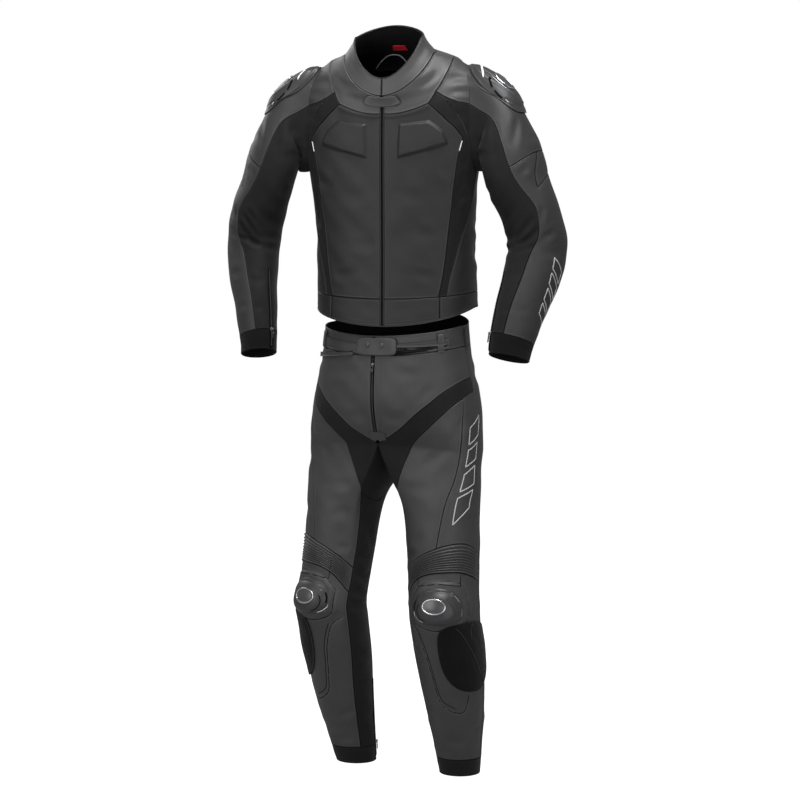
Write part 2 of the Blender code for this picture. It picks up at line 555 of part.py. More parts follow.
def build_panels():
    """Every cut piece of both garments, with the normals of the whole skin."""
    half = {name: [(collar if name == "collar" else torso)(uv[..., 0], uv[..., 1]) for uv in blocks]
            for name, blocks in torso_pieces().items()}
    grids = {name: both(half[name]) for name in ("back", "yoke", "hem", "collar")}
    for name in ("front", "side_stretch", "shoulder"):
        grids[name + "_L"] = half[name]
    for name, blocks in sleeve_pieces().items():
        grids[name + "_L"] = [sleeve(uv[..., 0], uv[..., 1]) for uv in blocks]
    rows = np.concatenate([half["hem"][0][0], half["front"][0][0, 1:], half["yoke"][0][0, 1:]])
    rows[-1] = rows[-2] + .85 * (rows[-1] - rows[-2])
    grids["front_zip"] = [np.stack([rows * [-1, 1, 1], rows])]
    lower = {name: [trousers(uv[..., 0], uv[..., 1])[:, ::-1] for uv in blocks] for name, blocks in trousers_pieces().items()}
    lower["knee_stretch"] = [straight(lower["knee_stretch"][0], KNEE_RIBS)]
    fly = lower["hip_front"][0][0].copy()
    fly[0] = fly[1] + .95 * (fly[0] - fly[1])
    grids["fly_zip"] = [np.stack([fly * [-1, 1, 1], fly])]
    grids["waistband"] = both(lower.pop("waistband"))
    for name, blocks in lower.items():
        grids[name + "_L"] = blocks
    for name in [n for n in grids if n.endswith("_L")]:
        grids[name[:-1] + "R"] = [mirrored(b) for b in grids[name]]
    normals = surface_normals(grids)
    for name in ("knee_stretch_L", "knee_stretch_R"):
        normals[name] = [straight(normals[name][0], KNEE_RIBS)]
    for name in grids:
        low = base_name(name) in lower or name in ("waistband", "fly_zip")
        normals[name] = [turned(b) - turned(0 * b) if low else b for b in normals[name]]
        grids[name] = [turned(b) if low else hung(b) for b in grids[name]]
    return grids, normals


PANEL_LOOK = {
    # piece: (slot, wall, half the gap at a seam)
    "back": ("leather", LEATHER, GAP),
    "yoke": ("satin_leather", LEATHER, GAP),
    "hem": ("leather", LEATHER, GAP),
    "collar": ("leather", LEATHER, GAP),
    "front": ("leather", LEATHER, GAP),
    "side_stretch": ("stretch_fabric", STRETCH, 3 * GAP),
    "shoulder": ("satin_leather", LEATHER, 2 * GAP),
    "sleeve_upper": ("leather", LEATHER, GAP),
    "sleeve_lower": ("leather", LEATHER, GAP),
    "sleeve_inner": ("stretch_fabric", STRETCH, 4 * GAP),
    "cuff": ("stretch_fabric", STRETCH, GAP),
    "waistband": ("leather", LEATHER, GAP),
    "hip_front": ("leather", LEATHER, GAP),
    "groin": ("stretch_fabric", STRETCH, 3 * GAP),
    "thigh_front": ("leather", LEATHER, GAP),
    "knee_stretch": ("leather", STRETCH, GAP),
    "shin": ("leather", LEATHER, GAP),
    "inner_leg": ("stretch_fabric", STRETCH, GAP),
    "back_leg": ("leather", LEATHER, 2 * GAP),
    "leg_cuff": ("stretch_fabric", STRETCH, GAP),
}


def base_name(name):
    return name[:-2] if name[-2:] in ("_L", "_R") else name


def relief(name, grid):
    """How far each point of a block's outer face is raised: ribs on the knee stretch, a pad on the chest."""
    na, nb = grid.shape[:2]
    i, j = np.meshgrid(np.linspace(0, 1, na), np.linspace(0, 1, nb), indexing="ij")
    lift = 0 * i
    if name == "knee_stretch":
        lift = RIB_HIGH * (np.arange(nb) % 2 == 1)[None, :] * smooth(i, 0, 0.15) * smooth(1 - i, 0, 0.15)
    if name == "front":
        lift = CHEST_PAD_HIGH * smooth(j, 0.55, 0.72) * smooth(1 - j, 0.0, 0.1) * smooth(i, 0.1, 0.3) * smooth(1 - i, 0.0, 0.15)
    return lift[..., None]


def laid_on(name, surface, uv, slot, thick, clear=ON_TOP, lift=0.0, side="L", inside=False):
    """A piece that lies on a surface: its own grid of points, clear of the cloth, thick and then raised by lift."""
    points, normal = raw(surface, uv)
    if inside:
        normal = -normal
    points = points + normal * (clear + thick)
    lift = np.broadcast_to(np.asarray(lift, float), points.shape[:2])[..., None]
    if (surface is trousers) != inside:
        points, normal, lift = points[:, ::-1], normal[:, ::-1], lift[:, ::-1]
    if side == "R":
        points, normal, lift = mirrored(points), mirrored(normal), lift[::-1]
    if surface is trousers:
        points, normal = turned(points), turned(normal) - turned(0 * normal)
    else:
        points = hung(points)
    return shell(name, [points], [normal], slot, thick, raised=[lift], gap=0.0)


def oval(centre, half, n, power=2.0):
    """Grid of uv over an oval, and 0 at its middle to 1 at its rim."""
    x, y, rim = disc(n, power)
    return np.stack([centre[0] + half[0] * x, centre[1] + half[1] * y], -1), rim


def box(name, centre, axes, halves, slot):
    """A block with the given middle, axes and half sizes, used to build a slider."""
    corners = np.array([[i, j, k] for i in (-1, 1) for j in (-1, 1) for k in (-1, 1)], float) * halves
    points = centre + corners @ np.array(axes)
    sides = [[0, 1, 3, 2], [4, 6, 7, 5], [0, 4, 5, 1], [2, 3, 7, 6], [0, 2, 6, 4], [1, 5, 7, 3]]
    faces = np.array([[q[0], q[i], q[i + 1]] for q in sides for i in (1, 2)])
    return add_object(name, points, faces, slot, hidden=True)


def slider(zipper, name, foot, down, out, reach):
    """Adds a zip's slider with an arched bridge at foot, and its pull tab, which turns under the bridge and is its own piece."""
    out = unit(out - (out @ down) * down)
    axis = np.cross(down, out)
    top = foot + out * SLIDER_HIGH
    pin = top + out * PIN_HIGH
    blocks = [
        box(name + "_body", foot + out * (SLIDER_HIGH / 2 - .0004), [axis, down, out], [.003, .0045, SLIDER_HIGH / 2 + .0004], "metal"),
        box(name + "_near", top + down * .0023 + out * .0019, [axis, down, out], [.001, .0006, .0026], "metal"),
        box(name + "_far", top - down * .0023 + out * .0019, [axis, down, out], [.001, .0006, .0026], "metal"),
        box(name + "_bridge", top + out * .0040, [axis, down, out], [.001, .0029, .0006], "metal"),
    ]
    for block in blocks:
        union = zipper.modifiers.new(block.name, "BOOLEAN")
        union.operation, union.solver, union.object = "UNION", "EXACT", block
    x = np.array([-.004, -.0022, .0022, .004])
    y = np.array([-.001, .001, .008, reach])
    narrow = np.array([.9, 1, 1, .75])
    grid = pin + x[:, None, None] * narrow[None, :, None] * axis + y[None, :, None] * down + out * .0007
    normal = np.broadcast_to(out, grid.shape)
    parts = [(slice(0, 4), slice(0, 2)), (slice(0, 2), slice(1, 3)), (slice(2, 4), slice(1, 3)), (slice(0, 4), slice(2, 4))]
    turn = np.sign(np.cross(grid[1, 0] - grid[0, 0], grid[0, 1] - grid[0, 0]) @ out)
    order = slice(None, None, int(turn))
    pull = shell(name, [grid[q][order] for q in parts], [normal[q][order] for q in parts], "metal", .0014, gap=0.0)
    pull.data.transform(Matrix.Translation((-pin).tolist()))
    pull.location = pin.tolist()
    return pin, axis


def zip_on(name, pull, surface, t, v0, v1, at, clear, side):
    """A zip laid on a sleeve or leg at angle t from v0 to v1, closed, with its slider at v = at."""
    v = np.linspace(v0, v1, 7)
    uv = np.stack([0 * v + t, v], -1)
    middle, normal = raw(surface, uv)
    along = unit(np.gradient(middle, axis=0))
    across = np.cross(normal, along)
    grid = middle[None] + np.array([-.004, .004])[:, None, None] * across[None] + normal[None] * (clear + .0012)
    out = np.broadcast_to(normal, grid.shape)
    foot, foot_normal = raw(surface, np.array([t, at]))
    step = unit(surface(t, at + .05) - surface(t, at - .05))
    foot = foot + foot_normal * (clear + .0012)
    turn = np.sign(np.cross(grid[1, 0] - grid[0, 0], grid[0, 1] - grid[0, 0]) @ normal[0])
    if turn < 0:
        grid, out = grid[::-1], out[::-1]
    if side == "R":
        grid, out = mirrored(grid), mirrored(out)
        foot, foot_normal, step = (v * [-1, 1, 1] for v in (foot, foot_normal, step))
    if surface is trousers:
        grid, out, foot = turned(grid), turned(out) - turned(0 * out), turned(foot)
        foot_normal, step = turned(foot_normal) - turned(0 * foot_normal), turned(step) - turned(0 * step)
    else:
        grid, foot = hung(grid), hung(foot)
    strip = shell(name, [grid], [out], "guard_plastic", .0012, gap=0.0)
    slider(strip, pull, foot, step, foot_normal, PULL_LONG)


def neck_lining():
    """The black lining inside the collar, which runs down inside the back of the neck."""
    u = torso_pieces()["collar"][0][:, 0, 0]
    low = through(np.array([[0, 9.75], [35, 9.6], [80, 9.0], [130, 8.35], [180, 8.2]]), u)[:, 0]
    k = np.linspace(0, 1, 3)
    below = torso(u[:, None], low[:, None] + (10 - low[:, None]) * k)
    above = collar(u[:, None], np.linspace(0, 1, 3)[None])
    blocks = both([below, above])
    normals = surface_normals({"lining": blocks})["lining"]
    rows = [.0054 - .0045 * k, np.full(3, .0009)]
    blocks = [hung(b - n * (LEATHER + rows[i % 2][None, :, None])) for i, (b, n) in enumerate(zip(blocks, normals))]
    shell("collar_lining", blocks, normals, "stretch_fabric", .0014, gap=0.0)


def on_waist(uv):
    """From angle and level of the waist's rings to the trousers' own t and w."""
    return np.stack([1.5 * uv[..., 0] - 45, uv[..., 1] - 4], -1)


def waist_belt():
    """The strap through the waistband, a plain band across the front."""
    u, level = np.meshgrid(np.linspace(-62, 62, 23), [.26, .62], indexing="ij")
    laid_on("waist_belt", trousers, on_waist(np.stack([u, level], -1)), "leather", .0018)


def collar_tab():
    tab, rim = oval((0, 9.42), (17, .5), 6, 5.0)
    laid_on("collar_tab", torso, tab, "leather", .002, lift=.0008 * smooth(1 - rim, 0, .4))


def label():
    """The small loop label sewn to the lining under the back of the collar."""
    u, level = np.meshgrid(np.linspace(172, 188, 3), np.linspace(9.5, 9.95, 3), indexing="ij")
    laid_on("label", torso, np.stack([u, level], -1), "red_label", .0012, clear=.0071, inside=True)


def centre_zips(grids, normals):
    """The jacket's front zip, closed up to the collar tab, and the trousers' fly zip with its slider at the top."""
    shell("front_zip", grids["front_zip"], normals["front_zip"], "guard_plastic", ZIP_WALL, sunk=ZIP_SUNK)
    fly = shell("fly_zip", grids["fly_zip"], normals["fly_zip"], "guard_plastic", ZIP_WALL, sunk=ZIP_SUNK)
    at = FLY_SLIDER_LEVEL - 4
    foot, out = raw(trousers, np.array([-45.0, at]))
    step = trousers(-45.0, at + .1) - trousers(-45.0, at - .1)
    out, step = (turned(v) - turned(0 * v) for v in (out, step))
    slider(fly, "fly_pull", turned(foot) - ZIP_SUNK * out, unit(step), out, FLY_PULL_LONG)


def main():
    for obj in list(bpy.data.objects):
        bpy.data.objects.remove(obj)
    grids, normals = build_panels()
    for name, blocks in grids.items():
        base = base_name(name)
        if base in PANEL_LOOK:
            slot, wall, gap = PANEL_LOOK[base]
            lift = [relief(base, b) for b in blocks]
            if name.endswith("_R"):
                lift = [b[::-1] for b in lift]
            shell(name, blocks, normals[name], slot, wall, raised=lift, gap=gap)
    centre_zips(grids, normals)
    neck_lining()
    label()
    collar_tab()
    waist_belt()
    for name, middle, half, cells, square, slot, thick, clear, crown, soft in ON_WAIST:
        uv, rim = oval(middle, half, cells, square)
        laid_on(name, trousers, on_waist(uv), slot, thick, clear=clear, lift=crown * smooth(1 - rim, 0, soft))
    surfaces = {"sleeve": sleeve, "trousers": trousers}
    for side in "LR":
        for name, surface, middle, half, cells, square, slot, thick, clear, crown, soft in ON_SLEEVE_AND_LEG:
            uv, rim = oval(middle, half, cells, square)
            lift = crown * smooth(1 - rim, 0, soft)
            laid_on(name + "_" + side, surfaces[surface], uv, slot, thick, clear=clear, lift=lift, side=side)
        for name, pull, surface, angle, start, end, at, clear in CLOSED_ZIPS:
            zip_on(name + "_" + side, pull + "_" + side, surfaces[surface], angle, start, end, at, clear, side)


main()
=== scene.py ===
"""The looks of a two-piece leather race suit: a jacket above trousers, filled out, hollow, worn by nobody.

Z is up, the front faces -Y and +X is the wearer's left. Each panel is a region of a smooth surface with two
parameters: torso, collar, sleeve, or hip with leg. Creases, pads and rolled seams move its points along the
normal.
"""

import bpy
import numpy as np
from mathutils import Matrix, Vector


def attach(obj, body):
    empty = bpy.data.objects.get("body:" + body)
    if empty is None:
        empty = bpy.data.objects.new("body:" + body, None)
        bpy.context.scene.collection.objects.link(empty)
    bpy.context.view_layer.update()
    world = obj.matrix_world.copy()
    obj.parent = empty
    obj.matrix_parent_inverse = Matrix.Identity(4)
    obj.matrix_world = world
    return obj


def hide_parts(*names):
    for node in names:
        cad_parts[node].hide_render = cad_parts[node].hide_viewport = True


MM = 0.001
HOLD_HEIGHT = 1.60
LEATHER, STRETCH = 0.0020, 0.0016
ROLL_DEEP = 1.3 * MM
KNEE_RIBS, RIB_HIGH = 10, 2.8 * MM
STITCH_PITCH, STITCH_LONG, STITCH_THICK = 4.2 * MM, 3.0 * MM, 0.7 * MM
STITCH_INSET, STITCH_LIFT = 0.0040, 0.0001
ZIP_HALF, TAPE_THICK, TOOTH_PITCH = 0.004, 0.9 * MM, 0.0026
GROOVE_WIDE, RIDGE_WIDE = 0.0022, 0.0062
BESIDE_BORDER = (0.22, 0.45, 0.7, 1.15)  # extra grid lines beside a border, in cells
FAR = 0.5  # stands for the distance to a seam that isn't near
STEP_U, STEP_V = 0.5, 0.03  # how far each way a surface is read for its normal
SQUARE = 0.05  # how far an oval ring swells between front and side
SIDE_FALL = 1.6  # how late a ring leaves its side's height for its front's or back's
ARM_TOP, ARM_BOTTOM, ARM_MIDDLE_U, ARM_FRONT_U, ARM_BACK_U = 8.75, 5.0, 88.0, 27.0, 42.0
ROOT_SEAM = 76.9  # angle at which the sleeve's front seam meets the armhole
SLEEVE_TURN = 45.0
CROTCH_HEIGHT = 0.745
TROUSERS_TURN, TROUSERS_SHIFT = -11.0, -0.002
FLY_T, T_PER_U = -45.0, 1.5  # the trousers' t at the fly, and its rise for each degree round the waist
HEM, YOKE_FOOT, YOKE_BACK_FOOT, NECK = 1.05, 8.17, 8.95, 10.0  # levels of the torso
COLLAR_GAP = 0.4  # angle at which the collar ends in front
CUFF_TOP, CUFF_END = 7.8, 8.4  # stations of the sleeve
WAIST, BAND, ANKLE, LEG_END = -4.0, -3.32, 9.45, 10.0  # w of the trousers
BAND_LEVEL, HIP_LEVEL = 0.68, 4.0  # levels of the hip's rings: the waistband's lower edge and the hip's
FLOOR_HEIGHT, FLOOR_HALF = -1.62, 5.0
CAMERA_TURN, CAMERA_RISE, CAMERA_AWAY, CAMERA_AIM = 17, 5, 5.744, (.005, 0, -.715)
LENS, SENSOR = 110, 36
WORLD_LIGHT, WORLD_SEEN = 0.3, 0.7  # light from the world, and what is added where the camera sees it

TORSO_RINGS = np.array([
    # level half_width front_y side_y back_y front_h side_h back_h
    [0.0, .1905, -.126, -.003, .120, 1.065, 1.107, 1.115],
    [1.0, .1900, -.125, -.006, .119, 1.124, 1.140, 1.145],
    [2.0, .1885, -.124, -.012, .115, 1.190, 1.200, 1.200],
    [3.0, .1885, -.124, -.018, .110, 1.270, 1.275, 1.275],
    [4.0, .1930, -.125, -.028, .103, 1.350, 1.350, 1.355],
    [5.0, .2010, -.126, -.038, .095, 1.425, 1.420, 1.430],
    [6.0, .2090, -.126, -.036, .088, 1.480, 1.495, 1.510],
    [7.0, .2130, -.125, -.030, .078, 1.520, 1.570, 1.585],
    [8.0, .2020, -.124, -.026, .064, 1.545, 1.632, 1.648],
    [9.0, .1600, -.124, -.030, .040, 1.567, 1.672, 1.695],
    [10.0, .1070, -.130, -.062, .010, 1.590, 1.690, 1.718],
])
COLLAR_RINGS = np.array([
    # level half_width front_y side_y back_y front_h side_h back_h
    [0.0, .1070, -.130, -.062, .010, 1.590, 1.690, 1.718],
    [0.5, .0900, -.128, -.066, -.004, 1.610, 1.710, 1.738],
    [1.0, .0810, -.126, -.070, -.014, 1.630, 1.727, 1.756],
])
SLEEVE_RINGS = np.array([
    # station x y h long_radius short_radius
    [0.0, .205, -.035, 1.545, .110, .072],
    [1.0, .257, -.045, 1.526, .100, .066],
    [2.0, .284, -.052, 1.470, .087, .060],
    [3.0, .301, -.055, 1.400, .077, .057],
    [4.0, .329, -.045, 1.325, .069, .062],
    [5.0, .344, -.038, 1.250, .073, .060],
    [6.0, .336, -.062, 1.175, .068, .054],
    [7.0, .318, -.094, 1.100, .060, .047],
    [8.0, .304, -.118, 1.025, .052, .041],
    [8.4, .301, -.126, 0.997, .049, .040],
])
PELVIS_RINGS = np.array([
    # level half_width front_y side_y back_y front_h side_h back_h
    [0.0, .1760, -.115, -.002, .110, 1.041, 1.064, 1.095],
    [1.0, .1830, -.121, -.002, .117, .975, .992, 1.010],
    [2.0, .2060, -.124, -.002, .128, .890, .890, .900],
    [3.0, .2150, -.112, -.012, .132, .832, .820, .845],
    [4.0, .2180, -.095, -.018, .125, .792, .765, .805],
])
LEG_RINGS = np.array([
    # station x y h side_radius front_radius back_radius
    [0.0, .112, -.008, .745, .107, .105, .115],
    [1.0, .122, -.014, .690, .097, .098, .100],
    [2.0, .131, -.020, .644, .0885, .092, .090],
    [3.0, .137, -.028, .550, .085, .087, .085],
    [4.0, .143, -.038, .479, .083, .084, .082],
    [5.0, .150, -.045, .409, .082, .092, .079],
    [6.0, .150, -.038, .362, .082, .088, .080],
    [7.0, .150, -.015, .268, .079, .080, .080],
    [8.0, .149, .008, .174, .070, .070, .071],
    [9.0, .145, .033, .080, .058, .058, .059],
    [10.0, .140, .053, .000, .048, .048, .049],
])

# Seams: index of a point along the seam, then where it lies on its surface.
FRONT_EDGE = np.array([
    [0, 40, HEM], [1, 43, 1.6], [3, 47.5, 2.7], [5, 50.5, 3.75], [7, 52, 4.7], [8, 53.3, 5.5], [9, 56, 6.1],
])
CHEST_SEAM = np.array([[0, 56, 6.1], [1, 48.5, 6.5], [2, 41, 6.95], [3, 35, 7.6], [4, 31.5, 8.27]])
YOKE_FRONT = np.array([[0, 1.2, 8.17], [2, 10, 8.12], [5, 31.5, 8.27]])
YOKE_CORNER = np.array([[0, 31.5, 8.27], [1, 42, 8.75]])
SHOULDER_FRONT = np.array([[0, 42, 8.75], [1, 44.5, 8.15], [2, 51, 7.65], [3, 61.7, 7.3]])
YOKE_SIDE = np.array([[0, 42, 8.75], [2, 60, 9.1], [5, 108, 9.32], [7, 138, 9.15]])
YOKE_BACK = np.array([[0, 138, 9.15], [2, 158, 9.0], [4, 180, 8.95]])
SHOULDER_BACK = np.array([[0, 138, 9.15], [3, 124.4, 7.81]])
SIDE_REAR = np.array([[0, 46, HEM], [1, 49, 1.65], [3, 60, 2.75], [5, 74, 3.65], [7, 88, 5.0]])
SLEEVE_FRONT = np.array([
    [0, ROOT_SEAM, 0.0], [2, 85, 1.0], [4, 84, 1.9], [6, 78, 2.66], [7, 70, 3.25], [8, 61, 3.9], [9, 66, 4.5],
    [11, 85, 5.6], [13, 94, 6.7], [15, 98, 7.8],
])
SLEEVE_BACK = np.array([[0, 240, 0.0], [6, 240, 2.4], [9, 240, 4.2], [15, 240, 7.8]])
SLEEVE_SEAM = np.array([[0, -120, 2.4], [4, -50, 2.35], [7, 20, 2.38], [10, 78, 2.66]])
GROIN_UPPER = np.array([
    [0, 90, -2.55], [1, 68, -2.5], [2, 46, -2.4], [4, 14, -2.0], [5, -2, -1.6], [6, -18, -1.0], [7, -33, -.4],
    [8, -43, 0],
])
GROIN_LOWER = np.array([
    [0, 90, -2.25], [1, 75, -2.2], [2, 59, -2.1], [3, 40, -1.9], [5, 9, -1.05], [6, -3, -.5], [7, -17, .4],
    [8, -34, 1.2], [9, -48, 1.75],
])
INNER_TOP = np.array([[0, -48, 1.75], [2, -80, 1.95], [5, -120, 1.65]])
THIGH_SEAM = np.array([[0, 59, -2.1], [2, 48, -.5], [4, 38, .9], [6, 24, 2.25], [7, 16, 2.92]])
INNER_FRONT = np.array([
    [0, -48, 1.75], [1, -55, 2.3], [3, -56, 3.8], [5, -56, 4.6], [9, -54, 6.6], [11, -51, 7.6],
    [14, -49, ANKLE],
])
INNER_BACK = np.array([[0, -120, 1.65], [3, -120, 3.8], [5, -120, 4.6], [14, -115, ANKLE]])
KNEE_TOP = np.array([
    [0, -56, 3.8], [1, -30, 3.38], [3, 16, 2.92], [4, 38, 2.83], [5, 60, 2.82], [7, 100, 3.12],
])
KNEE_BOTTOM = np.array([[0, -56, 4.6], [2, -16, 3.88], [4, 24, 3.66], [5, 50, 3.66], [7, 100, 4.04]])
SHIN_SIDE = np.array([[0, 100, 4.04], [9, 95, ANKLE]])


def through(rows, at):
    """Smooth curve through the rows of a table, by its first column as parameter: a cubic from row to row."""
    p, q = rows[:, 0], rows[:, 1:]
    slope = np.gradient(q, p, axis=0)
    at = np.clip(np.asarray(at, float), p[0], p[-1])
    i = np.clip(np.searchsorted(p, at, side="right") - 1, 0, len(p) - 2)
    step = (p[i + 1] - p[i])[..., None]
    t = (at - p[i])[..., None] / step
    return (
        q[i] * (1 + 2 * t) * (1 - t) ** 2
        + slope[i] * step * t * (1 - t) ** 2
        + q[i + 1] * t * t * (3 - 2 * t)
        + slope[i + 1] * step * t * t * (t - 1)
    )


def unit(v):
    return v / np.maximum(np.linalg.norm(v, axis=-1, keepdims=True), 1e-12)


def ring_point(rows, u, level):
    """Point at angle u (0 front, 90 left side, 180 back) of an oval ring: width * sin u across, depth * cos u
    forwards, both a little square, with heights of its own at front, side and back."""
    u, level = np.broadcast_arrays(np.asarray(u, float), np.asarray(level, float))
    width, front, side, back, front_h, side_h, back_h = np.moveaxis(through(rows, level), -1, 0)
    s, c = np.sin(np.radians(u)), np.cos(np.radians(u))
    square = 1 + SQUARE * np.sin(np.radians(2 * u)) ** 2
    y = side - np.where(c > 0, side - front, back - side) * c * square
    ahead, behind = np.clip(c, 0, 1) ** SIDE_FALL, np.clip(-c, 0, 1) ** SIDE_FALL
    h = side_h + (front_h - side_h) * ahead + (back_h - side_h) * behind
    return np.stack([width * s * square, y, h], -1)


def torso(u, level):
    return ring_point(TORSO_RINGS, u, level)


def collar(u, level):
    return ring_point(COLLAR_RINGS, u, level)


def armhole(tau):
    """Where the armhole lies on the torso at tau (0 top, 90 front, 180 bottom): an oval in u and level."""
    c, s = np.cos(np.radians(tau)), np.sin(np.radians(tau))
    reach = np.where(s > 0, ARM_FRONT_U, ARM_BACK_U)
    level = (ARM_TOP + ARM_BOTTOM) / 2 + (ARM_TOP - ARM_BOTTOM) / 2 * c
    return np.stack([ARM_MIDDLE_U - reach * s, level], -1)


def sleeve_ring(t, station):
    """Oval ring across the arm, its long axis turned SLEEVE_TURN from the outer side towards the back."""
    row = through(SLEEVE_RINGS, station)
    ends = (through(SLEEVE_RINGS, np.clip(station + step, 0, CUFF_END))[..., :3] for step in (0.3, -0.3))
    along = unit(np.subtract(*ends))
    front = np.array([0.0, -1.0, 0.0])
    front = unit(front - (along @ front)[..., None] * along)
    out = np.cross(front, along)
    turn = np.radians(SLEEVE_TURN)
    a = np.radians(t) + turn
    long_axis, short_axis = row[..., 3], row[..., 4]
    o = long_axis * np.cos(a) * np.cos(turn) + short_axis * np.sin(a) * np.sin(turn)
    f = -long_axis * np.cos(a) * np.sin(turn) + short_axis * np.sin(a) * np.cos(turn)
    return row[..., :3] + out * o[..., None] + front * f[..., None]


def from_root(root, station):
    """What a limb keeps at a station of its root's offset: all at 0, none from 3 on, by a smooth step."""
    left = np.clip(1 - station / 3, 0, 1)[..., None]
    return root * left**2 * (3 - 2 * left)


def sleeve(t, station):
    """Sleeve at angle t (0 outer side, 90 front): from the armhole to plain ovals, which start at station 3."""
    t, station = np.broadcast_arrays(np.asarray(t, float), np.asarray(station, float))
    hole = armhole(t)
    root = torso(hole[..., 0], hole[..., 1]) - sleeve_ring(t, 0 * station)
    return sleeve_ring(t, station) + from_root(root, station)


def pelvis(t, level):
    return ring_point(PELVIS_RINGS, (np.asarray(t, float) - FLY_T) / T_PER_U, level)


def on_waist(u, level):
    """From angle and level of the hip's rings to the trousers' own t and w."""
    u, level = np.broadcast_arrays(np.asarray(u, float), np.asarray(level, float))
    return np.stack([T_PER_U * u + FLY_T, level + WAIST], -1)


def leg_ring(t, station):
    x, y, h, side, front, back = np.moveaxis(through(LEG_RINGS, station), -1, 0)
    s, c = np.sin(np.radians(t)), np.cos(np.radians(t))
    return np.stack([x + side * s, y - np.where(c > 0, front, back) * c, h + 0 * x], -1)


def leg_top(t):
    """Top ring of a leg: the hip's lowest ring on the outside, the crotch seam on the inside."""
    turn = np.mod(t + 45, 360) - 45
    outer = pelvis(np.clip(turn, -45, 225), 4.0)
    k = np.clip((turn - 225) / 90, 0, 1)
    back, front = pelvis(225.0, 4.0), pelvis(-45.0, 4.0)
    edge = back[2] + (front[2] - back[2]) * k
    h = CROTCH_HEIGHT + (edge - CROTCH_HEIGHT) * np.abs(2 * k - 1) ** 2.2
    inner = np.stack([0 * k, back[1] + (front[1] - back[1]) * k, h], -1)
    return np.where((turn > 225)[..., None], inner, outer)


def trousers(t, w):
    """Hip from the waist at w = -4 to w = 0, and a leg below it. t is 0 in front of the leg, 90 outside."""
    t, w = np.broadcast_arrays(np.asarray(t, float), np.asarray(w, float))
    station = np.clip(w, 0, LEG_END)
    leg = leg_ring(t, station) + from_root(leg_top(t) - leg_ring(t, 0 * station), station)
    return np.where((w < 0)[..., None], pelvis(t, np.clip(w - WAIST, 0, HIP_LEVEL)), leg)


def hung(p):
    return p - np.array([0, 0, HOLD_HEIGHT])


def turned(p):
    a = np.radians(TROUSERS_TURN)
    x = p[..., 0] * np.cos(a) - p[..., 1] * np.sin(a) + TROUSERS_SHIFT
    y = p[..., 0] * np.sin(a) + p[..., 1] * np.cos(a)
    return np.stack([x, y, p[..., 2] - HOLD_HEIGHT], -1)


def zip_angle(rows, level):
    """Angle at which a ring lies ZIP_HALF from the middle, where the teeth show between two edges."""
    return np.degrees(np.arcsin(ZIP_HALF / through(rows, level)[..., 0]))


# ---------------------------------------------------------------- seams
class Edge:
    """A seam: at(k) gives its chart positions for k from 0 to n units."""

    def __init__(self, n, at):
        self.n, self.at = n, at

    def back(self):
        return Edge(self.n, lambda k: self.at(self.n - k))

    def some(self, first, last):
        return Edge(last - first, lambda k: self.at(first + k))

    def moved(self, du):
        return Edge(self.n, lambda k: self.at(k) + [du, 0])

    def set_level(self, level):
        return Edge(self.n, lambda k: self.at(k) * [1, 0] + [0, level])


def seam(rows, first=None, last=None):
    first, last = (rows[0, 0] if first is None else first), (rows[-1, 0] if last is None else last)
    return Edge(int(abs(last - first)), lambda k: through(rows, first + np.sign(last - first) * k))


def line(u0, v0, u1, v1, n):
    return Edge(n, lambda k: np.stack([u0 + (u1 - u0) * k / n, v0 + (v1 - v0) * k / n], -1))


def arm(t0, t1, n):
    return Edge(n, lambda k: armhole(t0 + (t1 - t0) * k / n))


def zip_line(rows, level0, level1, n):
    """The edge beside a zip on a garment's rings, from one level to another."""
    level = lambda k: level0 + (level1 - level0) * k / n
    return Edge(n, lambda k: np.stack([zip_angle(rows, level(k)), level(k)], -1))


def fly_line(level0, level1, n):
    edge = zip_line(PELVIS_RINGS, level0, level1, n)
    return Edge(n, lambda k: on_waist(*edge.at(k).T))


def chain(*edges):
    ends = np.cumsum([e.n for e in edges])

    def at(k):
        out = np.empty((len(k), 2))
        which = np.clip(np.searchsorted(ends, k - 1e-9), 0, len(edges) - 1)
        for i, (e, end) in enumerate(zip(edges, ends)):
            mine = which == i
            out[mine] = e.at(np.clip(k[mine] - end + e.n, 0, e.n))
        return out
    return Edge(int(ends[-1]), at)


